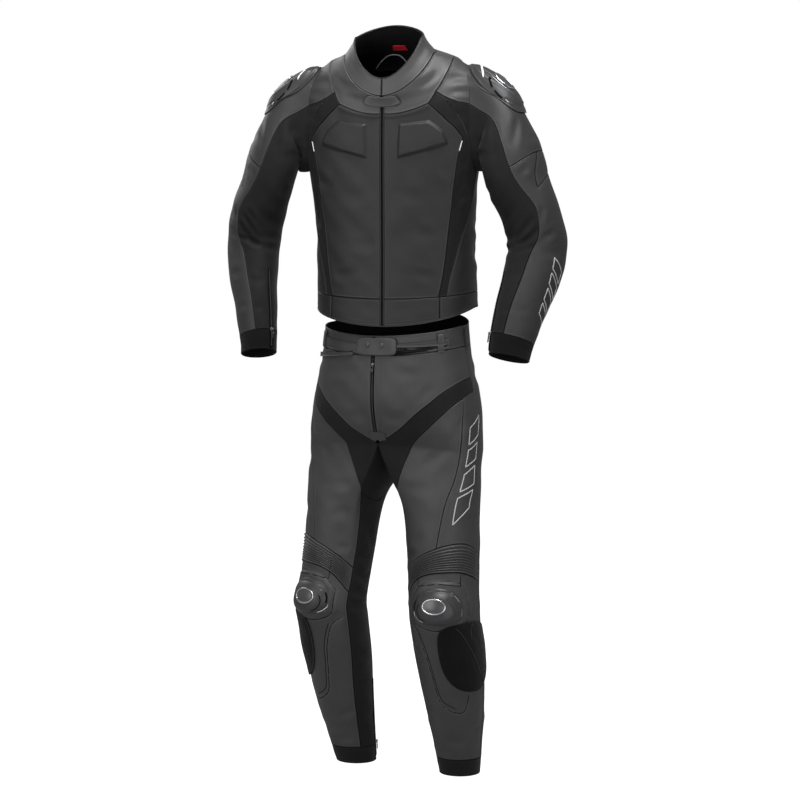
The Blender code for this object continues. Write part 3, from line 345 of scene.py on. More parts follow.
class Block:
    """A four-sided region of a surface: uv is the blend of opposite edges less that of the corners.

    left and right run upwards, bottom and top to the right. border names the sides that are true borders, partial
    adds parts of a side as (side, first unit, last unit), and the rest is welded to a neighbour. near_a and
    near_b are the units that get extra grid lines beside them, fine is how many cells a unit has each way, and a
    quiet border lies flat, without a rolled edge or stitches."""

    def __init__(self, left, right, bottom, top, border="LRBT", partial=(), near_a=None, near_b=None,
                 fine=(6, 6), quiet=""):
        spans = {"L": left.n, "R": right.n, "B": bottom.n, "T": top.n}
        borders = [(side, 0, spans[side]) for side in border] + list(partial)
        self.seams = [one for one in borders if one[0] not in quiet]
        self.a = self.steps(bottom.n, (0, bottom.n) if near_a is None else near_a, fine[0])
        self.b = self.steps(left.n, (0, left.n) if near_b is None else near_b, fine[1])
        low, high, near, far = bottom.at(self.a), top.at(self.a), left.at(self.b), right.at(self.b)
        a, b = (self.a / bottom.n)[:, None, None], (self.b / left.n)[None, :, None]
        ruled = (1 - a) * near[None] + a * far[None] + (1 - b) * low[:, None] + b * high[:, None]
        low_corners = (1 - a) * (1 - b) * near[0] + a * (1 - b) * far[0]
        self.uv = ruled - (low_corners + (1 - a) * b * near[-1] + a * b * far[-1])
        self.share = np.stack(np.broadcast_arrays(a[..., 0], b[..., 0]), -1)

    @staticmethod
    def steps(n, near, fine):
        """Units of the grid lines: fine to a unit, and closer beside the units near."""
        fine = max(1, round(fine * COARSE))
        beside = [p + way * d / fine for p in near for way in (-1, 1) for d in BESIDE_BORDER]
        return np.union1d(np.arange(n * fine + 1) / fine, [k for k in beside if 0 < k < n])

    def spanned(self, side, first, last):
        """Which grid lines that meet a side lie between two of its units."""
        k = self.b if side in "LR" else self.a
        return (k > first - 1e-6) & (k < last + 1e-6)


def lengths(points, axis=0):
    """Length along a path from its first point to each point, or along one axis of a grid."""
    steps = np.linalg.norm(np.diff(points, axis=axis), axis=-1)
    return np.concatenate([0 * steps.take([0], axis), np.cumsum(steps, axis)], axis)


def read_at(where, length, values):
    """Values of a path's points at places along it."""
    return np.stack([np.interp(where, length, one) for one in values.T], -1)


def border_distance(block, points):
    """Lengths along the grid's two directions, and each point's distance to the nearest true border."""
    along_a, along_b = lengths(points), lengths(points, 1)
    reach = {"L": along_a, "R": along_a[-1:] - along_a, "B": along_b, "T": along_b[:, -1:] - along_b}
    border = np.full(points.shape[:2], FAR)
    for side, first, last in block.seams:
        beside = block.spanned(side, first, last)
        beside = beside[None, :] if side in "LR" else beside[:, None]
        border = np.minimum(border, np.where(beside, reach[side], FAR))
    return along_a, along_b, border


# ---------------------------------------------------------------- the cut panels
def torso_panels():
    """Left half of the jacket's body: panel -> blocks of the torso or collar."""
    hem_front, hem_side = line(zip_angle(TORSO_RINGS, HEM), HEM, 40, HEM, 9), line(40, HEM, 46, HEM, 4)
    hem_back = line(46, HEM, 180, HEM, 9)
    hem_top = chain(hem_front, hem_side, hem_back)
    zip_u = zip_angle(TORSO_RINGS, NECK)
    neck = seam(np.array([[0, zip_u, NECK], [5, 33, NECK], [6, 41, NECK], [13, 136, NECK], [17, 180, NECK]]))
    yoke_outer = chain(seam(YOKE_FRONT), seam(YOKE_CORNER), seam(YOKE_SIDE), seam(YOKE_BACK))
    front_edge, side_rear = seam(FRONT_EDGE), seam(SIDE_REAR)
    waist = line(*FRONT_EDGE[4, 1:], ARM_MIDDLE_U, ARM_BOTTOM, 4)
    blades = line(*armhole(220.0), 180, 6.0, 7)
    collar_line = chain(line(COLLAR_GAP, NECK, zip_u, NECK, 1), neck)
    return {
        "front": [Block(
            zip_line(TORSO_RINGS, HEM, YOKE_FOOT, 9), front_edge, hem_front,
            chain(seam(YOKE_FRONT), seam(CHEST_SEAM).back()), fine=(7, 17),
        )],
        "side_stretch": [
            Block(front_edge.some(0, 7), side_rear, hem_side, waist, "LRB", near_b=(0,), fine=(7, 12)),
            Block(
                chain(front_edge.some(7, 9), seam(CHEST_SEAM)), arm(180, ROOT_SEAM, 6), waist,
                chain(seam(YOKE_CORNER), seam(SHOULDER_FRONT)), "LRT", near_b=(6,), fine=(7, 9), quiet="R",
            ),
        ],
        "shoulder": [Block(
            seam(YOKE_SIDE), chain(arm(ROOT_SEAM, 0, 4), arm(0, -60, 3)), seam(SHOULDER_FRONT),
            seam(SHOULDER_BACK),
            fine=(8, 8), quiet="R",
        )],
        "back": [
            Block(
                side_rear, line(180, HEM, 180, 6, 7), hem_back, chain(arm(180, 220, 2), blades), "LB",
                [("T", 0, 2)], near_a=(0, 2), near_b=(0, 7), fine=(5, 7),
            ),
            Block(
                arm(220, 300, 4), line(180, 6, 180, YOKE_BACK_FOOT, 4), blades,
                chain(seam(SHOULDER_BACK).back(), seam(YOKE_BACK)), "LT", near_a=(0,), near_b=(4,),
                fine=(5, 6),
            ),
        ],
        "yoke": [Block(
            zip_line(TORSO_RINGS, YOKE_FOOT, NECK, 3), line(180, YOKE_BACK_FOOT, 180, NECK, 3), yoke_outer,
            neck,
            "LBT", near_a=(0,), fine=(5, 8),
        )],
        "hem": [Block(
            zip_line(TORSO_RINGS, 0, HEM, 2), line(180, 0, 180, HEM, 2), hem_top.set_level(0), hem_top, "LBT",
            near_a=(0,), fine=(4, 6),
        )],
        "collar": [Block(
            line(COLLAR_GAP, 0, COLLAR_GAP, 1, 2), line(180, 0, 180, 1, 2), collar_line.set_level(0),
            collar_line.set_level(1), "LBT", near_a=(0,), fine=(5, 7),
        )],
    }


def sleeve_panels():
    """Left sleeve: panel -> blocks. Each runs round the arm and from the shoulder down."""
    front, back = seam(SLEEVE_FRONT), seam(SLEEVE_BACK)
    outer_back, across = back.moved(-360), seam(SLEEVE_SEAM)
    root = chain(line(-120, 0, -60, 0, 3), line(-60, 0, 0, 0, 3), line(0, 0, ROOT_SEAM, 0, 4))
    under = chain(line(ROOT_SEAM, 0, 180, 0, 6), line(180, 0, 240, 0, 3))
    end_outer, end_inner = line(-120, CUFF_TOP, 98, CUFF_TOP, 10), line(98, CUFF_TOP, 240, CUFF_TOP, 9)
    ring = chain(end_outer, end_inner)
    return {
        "sleeve_upper": [Block(
            outer_back.some(0, 6), front.some(0, 6), root, across, fine=(7, 8), quiet="B",
        )],
        "sleeve_lower": [Block(outer_back.some(6, 15), front.some(6, 15), across, end_outer, fine=(6, 11))],
        "sleeve_inner": [Block(front, back, under, end_inner, fine=(5, 8), quiet="B")],
        "cuff": [Block(
            line(-120, CUFF_TOP, -120, CUFF_END, 2), line(240, CUFF_TOP, 240, CUFF_END, 2), ring,
            ring.set_level(CUFF_END), "BT", near_a=(), fine=(4, 6),
        )],
    }


def trousers_panels():
    """Left half of the trousers. Each block runs from its front or inner edge outwards, and downwards."""
    fly_band, fly_foot = (on_waist(zip_angle(PELVIS_RINGS, v), v) for v in (BAND_LEVEL, HIP_LEVEL))
    band_front, band_back = line(fly_band[0], BAND, 90, BAND, 8), line(90, BAND, 225, BAND, 10)
    upper_rows = GROIN_UPPER.copy()
    upper_rows[-1, 1:] = fly_foot
    upper, lower = seam(upper_rows), seam(GROIN_LOWER)
    thigh_seam, shin_side = seam(THIGH_SEAM), seam(SHIN_SIDE)
    hip_side, hip_end = line(90, BAND, 90, -2.55, 4), line(90, -2.55, 90, -2.25, 2)
    crotch, crotch_end = line(-45, 0, -135, 0, 5), line(-135, 0, -120, 1.65, 2)
    inner_top, inner_front, inner_back = seam(INNER_TOP), seam(INNER_FRONT), seam(INNER_BACK)
    knee_top, knee_bottom, knee_back = seam(KNEE_TOP), seam(KNEE_BOTTOM), line(100, 3.12, 240, 3.8, 6)
    knee_side, ribbed_side = line(100, 3.12, 100, 4.04, 2), line(100, 3.12, 100, 4.04, 2 * KNEE_RIBS)
    knee_inner = Edge(2 * KNEE_RIBS, lambda k: inner_front.at(3 + k / KNEE_RIBS))
    end_inner, shin_end = line(-115, ANKLE, -49, ANKLE, 5), line(-49, ANKLE, 95, ANKLE, 7)
    end_back = line(95, ANKLE, 245, ANKLE, 6)
    seat = chain(line(225, BAND, 225, 0, 10), crotch_end.moved(360), inner_back.some(0, 3).moved(360))
    end_ring, band = chain(end_inner, shin_end, end_back), chain(band_front, band_back)
    return {
        "hip_front": [Block(
            fly_line(BAND_LEVEL, HIP_LEVEL, 4), hip_side, band_front, upper.back(), fine=(8, 11),
        )],
        "groin": [Block(
            chain(upper, line(*fly_foot, -45, 0, 1), crotch), chain(lower, inner_top), hip_end, crotch_end,
            fine=(8, 7),
        )],
        "thigh_front": [Block(
            chain(lower.some(5, 9), inner_front.some(0, 3)), thigh_seam, lower.some(2, 5).back(),
            knee_top.some(0, 3), fine=(8, 10),
        )],
        "knee_stretch": [Block(knee_inner, ribbed_side, knee_top, knee_bottom, fine=(6, 4))],
        "shin": [Block(inner_front.some(5, 14), shin_side, knee_bottom, shin_end, fine=(7, 11))],
        "inner_leg": [Block(inner_back, inner_front, inner_top.back(), end_inner, fine=(3, 8))],
        "back_leg": [
            Block(
                chain(hip_side, hip_end, lower.some(0, 2), thigh_seam), seat, band_back,
                chain(knee_top.some(3, 7), knee_back), "LRB", [("T", 0, 4)], near_a=(0, 4, 10),
                near_b=(0, 15), fine=(4, 6),
            ),
            Block(
                chain(knee_side, shin_side), inner_back.some(3, 14).moved(360), knee_back, end_back, "LRT",
                near_a=(0, 6), near_b=(11,), fine=(5, 7),
            ),
        ],
        "leg_cuff": [Block(
            line(-115, ANKLE, -115, LEG_END, 2), line(245, ANKLE, 245, LEG_END, 2), end_ring,
            end_ring.set_level(LEG_END), "BT", near_a=(), fine=(4, 6),
        )],
        "waistband": [Block(
            fly_line(0.0, BAND_LEVEL, 2), line(225, WAIST, 225, BAND, 2), band.set_level(WAIST), band, "LBT",
            near_a=(0,), fine=(6, 7),
        )],
    }


# ---------------------------------------------------------------- from charts to the row frame
def place(surface, uv, side="L"):
    """Points of a surface at uv and their outward normals, in the row frame. The trousers' two halves meet at
    w = 0 as two sheets, so the step along v stays on its own side of it."""
    u, v = uv[..., 0], uv[..., 1]
    low, high = v - STEP_V, v + STEP_V
    if surface is trousers:
        low, high = np.where(v < 0, low, np.maximum(low, 0)), np.where(v < 0, np.minimum(high, 0), high)
    points, du = surface(u, v), surface(u + STEP_U, v) - surface(u - STEP_U, v)
    dv = surface(u, high) - surface(u, low)
    normal = unit(np.cross(dv, du) if surface is trousers else np.cross(du, dv))
    if side == "R":
        points, normal = points * [-1, 1, 1], normal * [-1, 1, 1]
    if surface is trousers:
        return turned(points), turned(normal) - turned(0 * normal)
    return hung(points), normal


def smooth(x, low, high):
    t = np.clip((x - low) / (high - low), 0, 1)
    return t * t * (3 - 2 * t)


def bump(x):
    return np.exp(-x * x)

# ---------------------------------------------------------------- creases
def crease_path(surface, row, side):
    """Points, tangents, normals along a crease: uv is the quadratic through its three places."""
    s = np.linspace(0, 1, 26)[:, None]
    start, middle, end = (np.array(row[i : i + 2], float) for i in (0, 2, 4))
    uv = start * (1 - s) * (1 - 2 * s) + middle * 4 * s * (1 - s) + end * s * (2 * s - 1)
    points, normal = place(surface, uv, side)
    return points, unit(np.gradient(points, axis=0)), unit(normal)


def creased(points, side, tables):
    """Height of all listed creases at points: each is -deep * bump(d / wide) with a soft ridge on each
    side, the one below being the fuller, and fades towards both ends as sin(pi s)^.7."""
    total = np.zeros(len(points))
    for surface, table in tables:
        for *places, deep, wide, which in table:
            for one in ("L", "R"):
                if which not in ("B", one) or side not in ("B", one):
                    continue
                path, tangent, normal = crease_path(surface, places, one)
                reach = 4.5 * wide
                close = (points > path.min(0) - reach) & (points < path.max(0) + reach)
                near = np.flatnonzero(np.all(close, axis=1))
                if not len(near):
                    continue
                gap = points[near][:, None] - path[None]
                i = np.argmin(np.einsum("ijk,ijk->ij", gap, gap), axis=1)
                gap = gap[np.arange(len(near)), i]
                along = np.einsum("ij,ij->i", gap, tangent[i])
                across = np.einsum("ij,ij->i", gap, np.cross(normal, tangent)[i])
                up = np.einsum("ij,ij->i", gap, normal[i])
                step = np.linalg.norm(path[1] - path[0])
                s = (i + along / step) / (len(path) - 1)
                fade = np.sin(np.pi * np.clip(s, 0, 1)) ** 0.7 * bump(up / 0.03)
                x = across / wide
                ridges = 0.55 * bump((x - 1.7) / 0.9), 0.3 * bump((x + 1.6) / 0.8)
                total[near] += deep * fade * (-bump(x) + ridges[0] + ridges[1])
    return total


# Creases by surface, laid where the cloth bends: the three places each passes through, then its depth
# and half width, and the side it is on (B for both).
TORSO_CREASES = [
    # u0  v0     u1  v1     u2  v2    deep   wide  side
    [18, 2.1, 29, 1.85, 40, 1.9, .0016, .011, "B"],
    [6, 2.9, 14, 2.75, 24, 2.85, .0012, .013, "R"],
    [22, 3.3, 32, 3.05, 44, 3.15, .0014, .013, "L"],
    [10, 4.4, 20, 4.15, 33, 4.2, .0010, .015, "B"],
    [52, 4.9, 46, 4.6, 36, 4.5, .0016, .012, "R"],
    [54, 5.3, 46, 5.0, 38, 5.05, .0013, .012, "L"],
    [60, 7.0, 52, 6.9, 47, 6.7, .0012, .012, "B"],
    [62, 6.5, 56, 6.45, 53, 6.2, .0012, .012, "B"],
    [66, 5.8, 62, 5.3, 60, 4.8, .0014, .012, "B"],
    [60, 4.6, 57, 4.0, 56, 3.4, .0018, .010, "B"],
    [76, 4.6, 66, 4.2, 58, 4.1, .0020, .010, "L"],
    [72, 3.7, 64, 3.4, 55, 3.4, .0018, .010, "R"],
    [8, 9.3, 24, 9.1, 38, 9.15, .0016, .010, "B"],
    [30, 9.75, 44, 9.45, 60, 9.5, .0018, .009, "B"],
    [14, 8.55, 22, 8.45, 30, 8.55, .0012, .009, "B"],
    [48, 9.0, 60, 8.6, 68, 8.0, .0028, .012, "R"],
    [54, 8.95, 66, 8.5, 72, 8.0, .0022, .010, "L"],
    [46, 8.3, 56, 8.05, 64, 7.7, .0022, .009, "B"],
    [100, 9.1, 112, 8.7, 120, 8.1, .0024, .012, "B"],
    [180, 2.2, 158, 2.0, 138, 2.15, .0030, .014, "L"],
    [176, 2.9, 160, 2.75, 140, 3.0, .0024, .013, "R"],
    [180, 3.7, 162, 3.6, 148, 3.8, .0022, .015, "B"],
    [120, 2.5, 104, 2.3, 86, 2.6, .0026, .013, "B"],
    [126, 3.5, 108, 3.2, 92, 3.5, .0024, .013, "L"],
    [124, 4.2, 108, 4.0, 95, 4.3, .0022, .013, "R"],
    [134, 6.2, 144, 6.4, 158, 6.3, .0024, .014, "B"],
    [132, 7.4, 142, 7.6, 156, 7.5, .0022, .013, "L"],
    [130, 7.0, 144, 7.0, 160, 7.1, .0022, .013, "R"],
]
SLEEVE_CREASES = [
    # t0  s0     t1  s1     t2  s2    deep   wide  side
    [70, 4.0, 92, 4.22, 116, 4.75, .0078, .0066, "R"],
    [66, 4.25, 90, 4.55, 112, 5.05, .0088, .0072, "R"],
    [72, 4.7, 96, 4.95, 122, 5.35, .0062, .0066, "R"],
    [76, 3.85, 92, 3.95, 108, 4.25, .0050, .0062, "R"],
    [68, 4.05, 90, 4.3, 118, 4.7, .0034, .0070, "L"],
    [66, 4.4, 90, 4.75, 114, 5.2, .0036, .0075, "L"],
    [78, 5.1, 98, 5.35, 120, 5.6, .0020, .0070, "L"],
    [110, 3.6, 132, 3.9, 160, 4.0, .0026, .0090, "B"],
    [120, 4.4, 146, 4.6, 178, 4.6, .0030, .0090, "B"],
    [126, 5.2, 152, 5.3, 184, 5.15, .0026, .0090, "B"],
    [130, 2.9, 152, 3.1, 180, 3.0, .0022, .0100, "B"],
    [98, 6.0, 116, 6.2, 138, 6.15, .0016, .0085, "L"],
    [94, 6.3, 112, 6.5, 132, 6.4, .0018, .0085, "R"],
    [96, 7.1, 110, 7.2, 126, 7.15, .0014, .0070, "B"],
    [84, 1.2, 96, 1.7, 100, 2.4, .0026, .0110, "B"],
    [96, .6, 110, 1.1, 124, 1.8, .0028, .0120, "B"],
    [112, .35, 134, .8, 156, 1.0, .0026, .0120, "B"],
    [16, 1.9, 36, 1.95, 56, 2.1, .0018, .0090, "R"],
    [30, 1.5, 48, 1.7, 66, 2.2, .0022, .0095, "B"],
    [-10, 2.1, 8, 2.05, 24, 2.1, .0014, .0090, "B"],
    [40, 2.75, 52, 2.8, 64, 2.95, .0018, .0085, "B"],
    [44, 3.9, 52, 4.05, 60, 4.3, .0022, .0080, "B"],
    [28, 4.0, 42, 4.15, 58, 4.1, .0020, .0085, "R"],
    [30, 4.6, 46, 4.7, 64, 4.75, .0022, .0085, "B"],
    [20, 5.2, 40, 5.3, 66, 5.3, .0016, .0100, "L"],
    [40, 5.9, 58, 6.05, 78, 6.1, .0016, .0100, "R"],
    [50, 6.9, 66, 7.05, 86, 7.0, .0014, .0090, "B"],
    [-60, 1.2, -44, 1.6, -30, 2.1, .0022, .0110, "B"],
    [-90, 4.6, -60, 4.5, -30, 4.6, .0026, .0110, "B"],
    [-84, 5.2, -56, 5.1, -28, 5.2, .0022, .0110, "B"],
    [-80, 6.6, -50, 6.5, -20, 6.6, .0018, .0110, "B"],
    [-100, 3.2, -70, 3.1, -40, 3.2, .0020, .0110, "B"],
]
TROUSER_CREASES = [
    # t0  w0     t1  w1     t2  w2    deep   wide  side
    [-26, -2.9, -6, -2.75, 16, -2.8, .0012, .012, "B"],
    [66, -3.1, 56, -2.9, 40, -2.85, .0016, .011, "R"],
    [-36, -1.6, -22, -1.4, -8, -1.5, .0014, .012, "B"],
    [30, -2.5, 14, -2.3, 2, -2.0, .0016, .011, "L"],
    [60, -1.6, 46, -1.1, 34, -.4, .0020, .013, "B"],
    [36, -.7, 20, -.1, 8, .6, .0020, .013, "R"],
    [30, -.2, 12, .35, -6, .8, .0022, .013, "L"],
    [-30, 1.6, -12, 1.5, 8, 1.6, .0018, .013, "B"],
    [-42, 2.4, -26, 2.3, -8, 2.45, .0020, .012, "R"],
    [-44, 2.7, -24, 2.75, -4, 2.6, .0020, .012, "L"],
    [-46, 3.1, -34, 3.1, -22, 3.05, .0024, .009, "B"],
    [54, .2, 66, .5, 84, .6, .0020, .013, "B"],
    [34, 1.8, 56, 1.9, 80, 1.75, .0020, .014, "L"],
    [30, 2.2, 50, 2.3, 74, 2.2, .0018, .013, "R"],
    [-76, 2.6, -84, 2.9, -96, 3.0, .0024, .011, "B"],
    [-60, 3.3, -76, 3.5, -96, 3.4, .0026, .010, "B"],
    [-62, 4.0, -82, 4.15, -106, 4.0, .0032, .0095, "B"],
    [-62, 4.5, -84, 4.7, -108, 4.55, .0030, .0095, "B"],
    [-64, 5.2, -84, 5.3, -106, 5.2, .0024, .0100, "B"],
    [-62, 6.3, -82, 6.4, -104, 6.3, .0020, .0110, "L"],
    [-60, 6.9, -82, 6.95, -102, 6.9, .0020, .0110, "R"],
    [-58, 8.2, -80, 8.3, -100, 8.2, .0022, .0100, "B"],
    [-58, 8.9, -78, 9.0, -98, 8.9, .0020, .0090, "B"],
    [-44, 5.4, -32, 5.9, -26, 6.5, .0022, .0100, "B"],
    [-46, 7.9, -26, 8.05, -6, 8.0, .0020, .0100, "L"],
    [-44, 8.3, -22, 8.45, -2, 8.35, .0022, .0100, "R"],
    [0, 8.8, 22, 8.9, 44, 8.8, .0022, .0090, "B"],
    [-30, 9.1, -10, 9.2, 14, 9.15, .0018, .0080, "B"],
    [58, 8.4, 72, 8.55, 88, 8.5, .0020, .0100, "B"],
    [104, -2.7, 130, -2.5, 160, -2.6, .0024, .0150, "B"],
    [150, -1.6, 180, -1.2, 214, -1.3, .0028, .0160, "B"],
    [140, -.4, 175, .1, 210, .4, .0030, .0160, "B"],
    [130, .9, 165, 1.2, 205, 1.3, .0026, .0150, "L"],
    [124, 1.5, 165, 1.8, 205, 1.8, .0026, .0150, "R"],
    [128, 3.6, 165, 3.5, 204, 3.7, .0042, .0130, "B"],
    [122, 4.1, 165, 4.1, 208, 4.2, .0048, .0130, "B"],
    [126, 4.7, 165, 4.6, 206, 4.7, .0040, .0130, "B"],
    [118, 5.4, 150, 5.3, 190, 5.4, .0028, .0140, "L"],
    [122, 5.9, 160, 5.8, 198, 5.9, .0026, .0140, "R"],
    [116, 7.8, 150, 7.7, 190, 7.8, .0026, .0130, "B"],
    [112, 8.6, 150, 8.5, 190, 8.6, .0026, .0120, "B"],
]
CREASES = {
    torso: [(torso, TORSO_CREASES), (sleeve, SLEEVE_CREASES)],
    collar: [],
    sleeve: [(sleeve, SLEEVE_CREASES), (torso, TORSO_CREASES)],
    trousers: [(trousers, TROUSER_CREASES)],
}


# ---------------------------------------------------------------- lines and outlines on a surface
def numbered(places):
    """A short table of places, each with its number in front of it."""
    return np.array([[i, *place] for i, place in enumerate(places)], float)


def on_surface(surface, places, side, curved=True, closed=False, per=14):
    """Points, tangents and normals along a line through places on a surface, per steps from one to the next."""
    rows = numbered([*places, places[0]] if closed else places)
    k = np.linspace(0, len(rows) - 1, (len(rows) - 1) * per + 1)
    uv = through(rows, k) if curved else read_at(k, rows[:, 0], rows[:, 1:])
    points, normal = place(surface, uv, side)
    return points, unit(np.gradient(points, axis=0)), unit(normal)


def path_distance(points, path):
    """Distance from each point to the nearest leg of a polyline."""
    leg = np.diff(path, axis=0)
    length = np.maximum(np.einsum("ij,ij->i", leg, leg), 1e-12)
    gap = points[:, None] - path[None, :-1]
    t = np.clip(np.einsum("ijk,jk->ij", gap, leg) / length, 0, 1)
    gap -= t[..., None] * leg[None]
    return np.sqrt(np.min(np.einsum("ijk,ijk->ij", gap, gap), axis=1))


def distance_to(points, path):
    """Distance from each point within 30 mm of a polyline's box to the polyline, and FAR for the others."""
    out = np.full(len(points), FAR)
    near = np.flatnonzero(np.all((points > path.min(0) - 0.03) & (points < path.max(0) + 0.03), axis=1))
    for part in np.array_split(near, max(1, len(near) // 4000)):
        out[part] = path_distance(points[part], path)
    return out


def inside(uv, table):
    """Whether each uv lies in the polygon of the table, by the even-odd rule."""
    table = np.array(table, float)
    odd = np.zeros(len(uv), bool)
    for (x0, y0), (x1, y1) in zip(table, np.roll(table, -1, axis=0)):
        crosses = (y0 > uv[:, 1]) != (y1 > uv[:, 1])
        odd ^= crosses & (uv[:, 0] < (x1 - x0) * (uv[:, 1] - y0) / ((y1 - y0) or 1e-9) + x0)
    return odd


# Raised or outlined areas: panel, places of the outline, whether it is smooth and closed, height inside, width
# of its slope, depth of the groove along it.
CHEST_PAD = [(10.5, 7.2), (29, 7.13), (39, 6.46), (44, 5.92), (10, 5.38)]
YOKE_RIDGE = [(u, level - .15) for _, u, level in YOKE_FRONT[:4]]
SHIN_LINE = [(-46, 5.72), (-26, 6.08), (-13, 6.65), (-8, 7.2), (0, 7.83), (26, 8.08), (46, 8.04), (58, 7.6)]
ELBOW_PATCH = [(14, 2.34), (24, 2.62), (31.5, 2.88), (39.5, 3.39), (10, 3.24), (-24, 3.10)]
KNEE_CUP = [(-34, 4.5), (-6, 4.02), (30, 3.92), (60, 4.1), (72, 4.8), (62, 5.55), (20, 5.9), (-26, 5.6)]
OUTLINES = [
    # panel, places, curved, closed, high, slope, groove (a ridge where it is below 0)
    ("front", CHEST_PAD, False, True, .0054, .0062, .0006),
    ("front", YOKE_RIDGE, True, False, .0, .004, -.0018),
    ("hem", [(41, .03), (41, 1.02)], False, False, .0, .004, .0014),
    ("sleeve_lower", ELBOW_PATCH, False, False, .0, .004, .0020),
    ("shin", SHIN_LINE, True, False, .0, .004, .0020),
    ("shin", KNEE_CUP, True, True, .0030, .010, .0014),
]


def uneven(points):
    """Soft low waves that keep filled-out leather from looking turned: a sum of sines over 70 to 190 mm."""
    x, y, z = points.T * 2 * np.pi
    wide = np.sin(x / .11 + 1.3 * np.sin(z / .19)) + np.sin(z / .13 + 2.1 + 1.1 * np.sin(x / .17 + y / .15))
    return 0.0005 * (wide + 0.7 * np.sin((x + z) / .07 + 0.8) + 0.6 * np.sin((y - z) / .083 + 1.9))


def seam_roll(d, deep):
    """Edge of a turned and topstitched panel at distance d: down in the seam, full beside it, then dented."""
    full, dent = 0.45 * MM * bump((d - 0.0021) / 0.0011), 0.3 * MM * bump((d - STITCH_INSET) / 0.0009)
    return -deep * bump(d / 0.0013) + full - dent


PANELS = {
    # panel: (surface, slot, look, wall, held, flat width, flat length)
    "front": (torso, "leather", "leather", LEATHER, "hung", 0.186, 0.446),
    "side_stretch": (torso, "stretch_fabric", "stretch", STRETCH, "stretched", 0.1, 0.46),
    # the shoulder takes the trousers' lighter leather as painted light from the top light
    "shoulder": (torso, "satin_leather", "hide", LEATHER, "hung", 0.066, 0.184),
    "back": (torso, "leather", "leather", LEATHER, "hung", 0.56, 0.6),
    "yoke": (torso, "satin_leather", "satin", LEATHER, "hung", 0.7, 0.063),
    "hem": (torso, "leather", "leather", LEATHER, "hung", 0.862, 0.062),
    "collar": (collar, "leather", "satin", LEATHER, "hung", 0.66, 0.047),
    # the sleeves take a leather a tone lighter than the body's and darker than the shoulder's, as painted light
    "sleeve_upper": (sleeve, "leather", "arm", LEATHER, "hung", 0.256, 0.282),
    "sleeve_lower": (sleeve, "leather", "arm", LEATHER, "hung", 0.26, 0.472),
    "sleeve_inner": (sleeve, "stretch_fabric", "stretch", STRETCH, "stretched", 0.192, 0.605),
    "cuff": (sleeve, "stretch_fabric", "cuff", STRETCH, "stretched", 0.342, 0.048),
    "waistband": (trousers, "leather", "hide", LEATHER, "hung", 1.03, 0.056),
    "hip_front": (trousers, "leather", "hide", LEATHER, "hung", 0.19, 0.212),
    "groin": (trousers, "stretch_fabric", "stretch", STRETCH, "stretched", 0.076, 0.562),
    "thigh_front": (trousers, "leather", "hide", LEATHER, "hung", 0.135, 0.372),
    "knee_stretch": (trousers, "leather", "hide", STRETCH, "stretched", 0.25, 0.067),
    "shin": (trousers, "leather", "hide", LEATHER, "hung", 0.234, 0.485),
    "inner_leg": (trousers, "stretch_fabric", "stretch", STRETCH, "stretched", 0.106, 0.653),
    "back_leg": (trousers, "leather", "hide", LEATHER, "hung", 0.32, 1.02),
    "leg_cuff": (trousers, "stretch_fabric", "stretch", STRETCH, "stretched", 0.382, 0.046),
}
LEATHERS = ("leather", "arm", "hide", "satin")
WHOLE = ("back", "yoke", "hem", "collar", "waistband")


def new_mesh(name, points, faces, looks, of=None, values=(), body="suit"):
    """An object from numpy arrays, smooth, with a look for each face by index and named point values."""
    mesh = bpy.data.meshes.new(name)
    mesh.vertices.add(len(points))
    mesh.vertices.foreach_set("co", np.asarray(points, np.float32).ravel())
    mesh.loops.add(faces.size)
    mesh.loops.foreach_set("vertex_index", faces.astype(np.int32).ravel())
    mesh.polygons.add(len(faces))
    mesh.polygons.foreach_set("loop_start", np.arange(len(faces), dtype=np.int32) * faces.shape[1])
    mesh.polygons.foreach_set("use_smooth", np.ones(len(faces), bool))
    if of is not None:
        mesh.polygons.foreach_set("material_index", of.astype(np.int32))
    for key, value in values:
        kind = "FLOAT" if value.ndim == 1 else "FLOAT_VECTOR"
        mesh.attributes.new(key, kind, "POINT").data.foreach_set(
            "value" if value.ndim == 1 else "vector", np.asarray(value, np.float32).ravel())
    mesh.update(calc_edges=True)
    obj = bpy.data.objects.new(name, mesh)
    for look in looks if isinstance(looks, (list, tuple)) else [looks]:
        mesh.materials.append(LOOKS[look])
    bpy.context.scene.collection.objects.link(obj)
    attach(obj, body)
    return obj


def welded(points):
    """Index of the first point in each place, and each point's place."""
    place_of = np.round(points / 2e-6).astype(np.int64)
    _, first, same = np.unique(place_of, axis=0, return_index=True, return_inverse=True)
    return first, same.ravel()


def grid_faces(index):
    """Quads of a grid of point numbers."""
    return np.stack([index[:-1, :-1], index[1:, :-1], index[1:, 1:], index[:-1, 1:]], -1).reshape(-1, 4)


def faces_inwards(grid, out):
    """Whether the quads of a grid of points face against the directions out."""
    turn = np.cross(grid[1:, :-1] - grid[:-1, :-1], grid[:-1, 1:] - grid[:-1, :-1])
    return np.sum(turn * out[:-1, :-1]) < 0


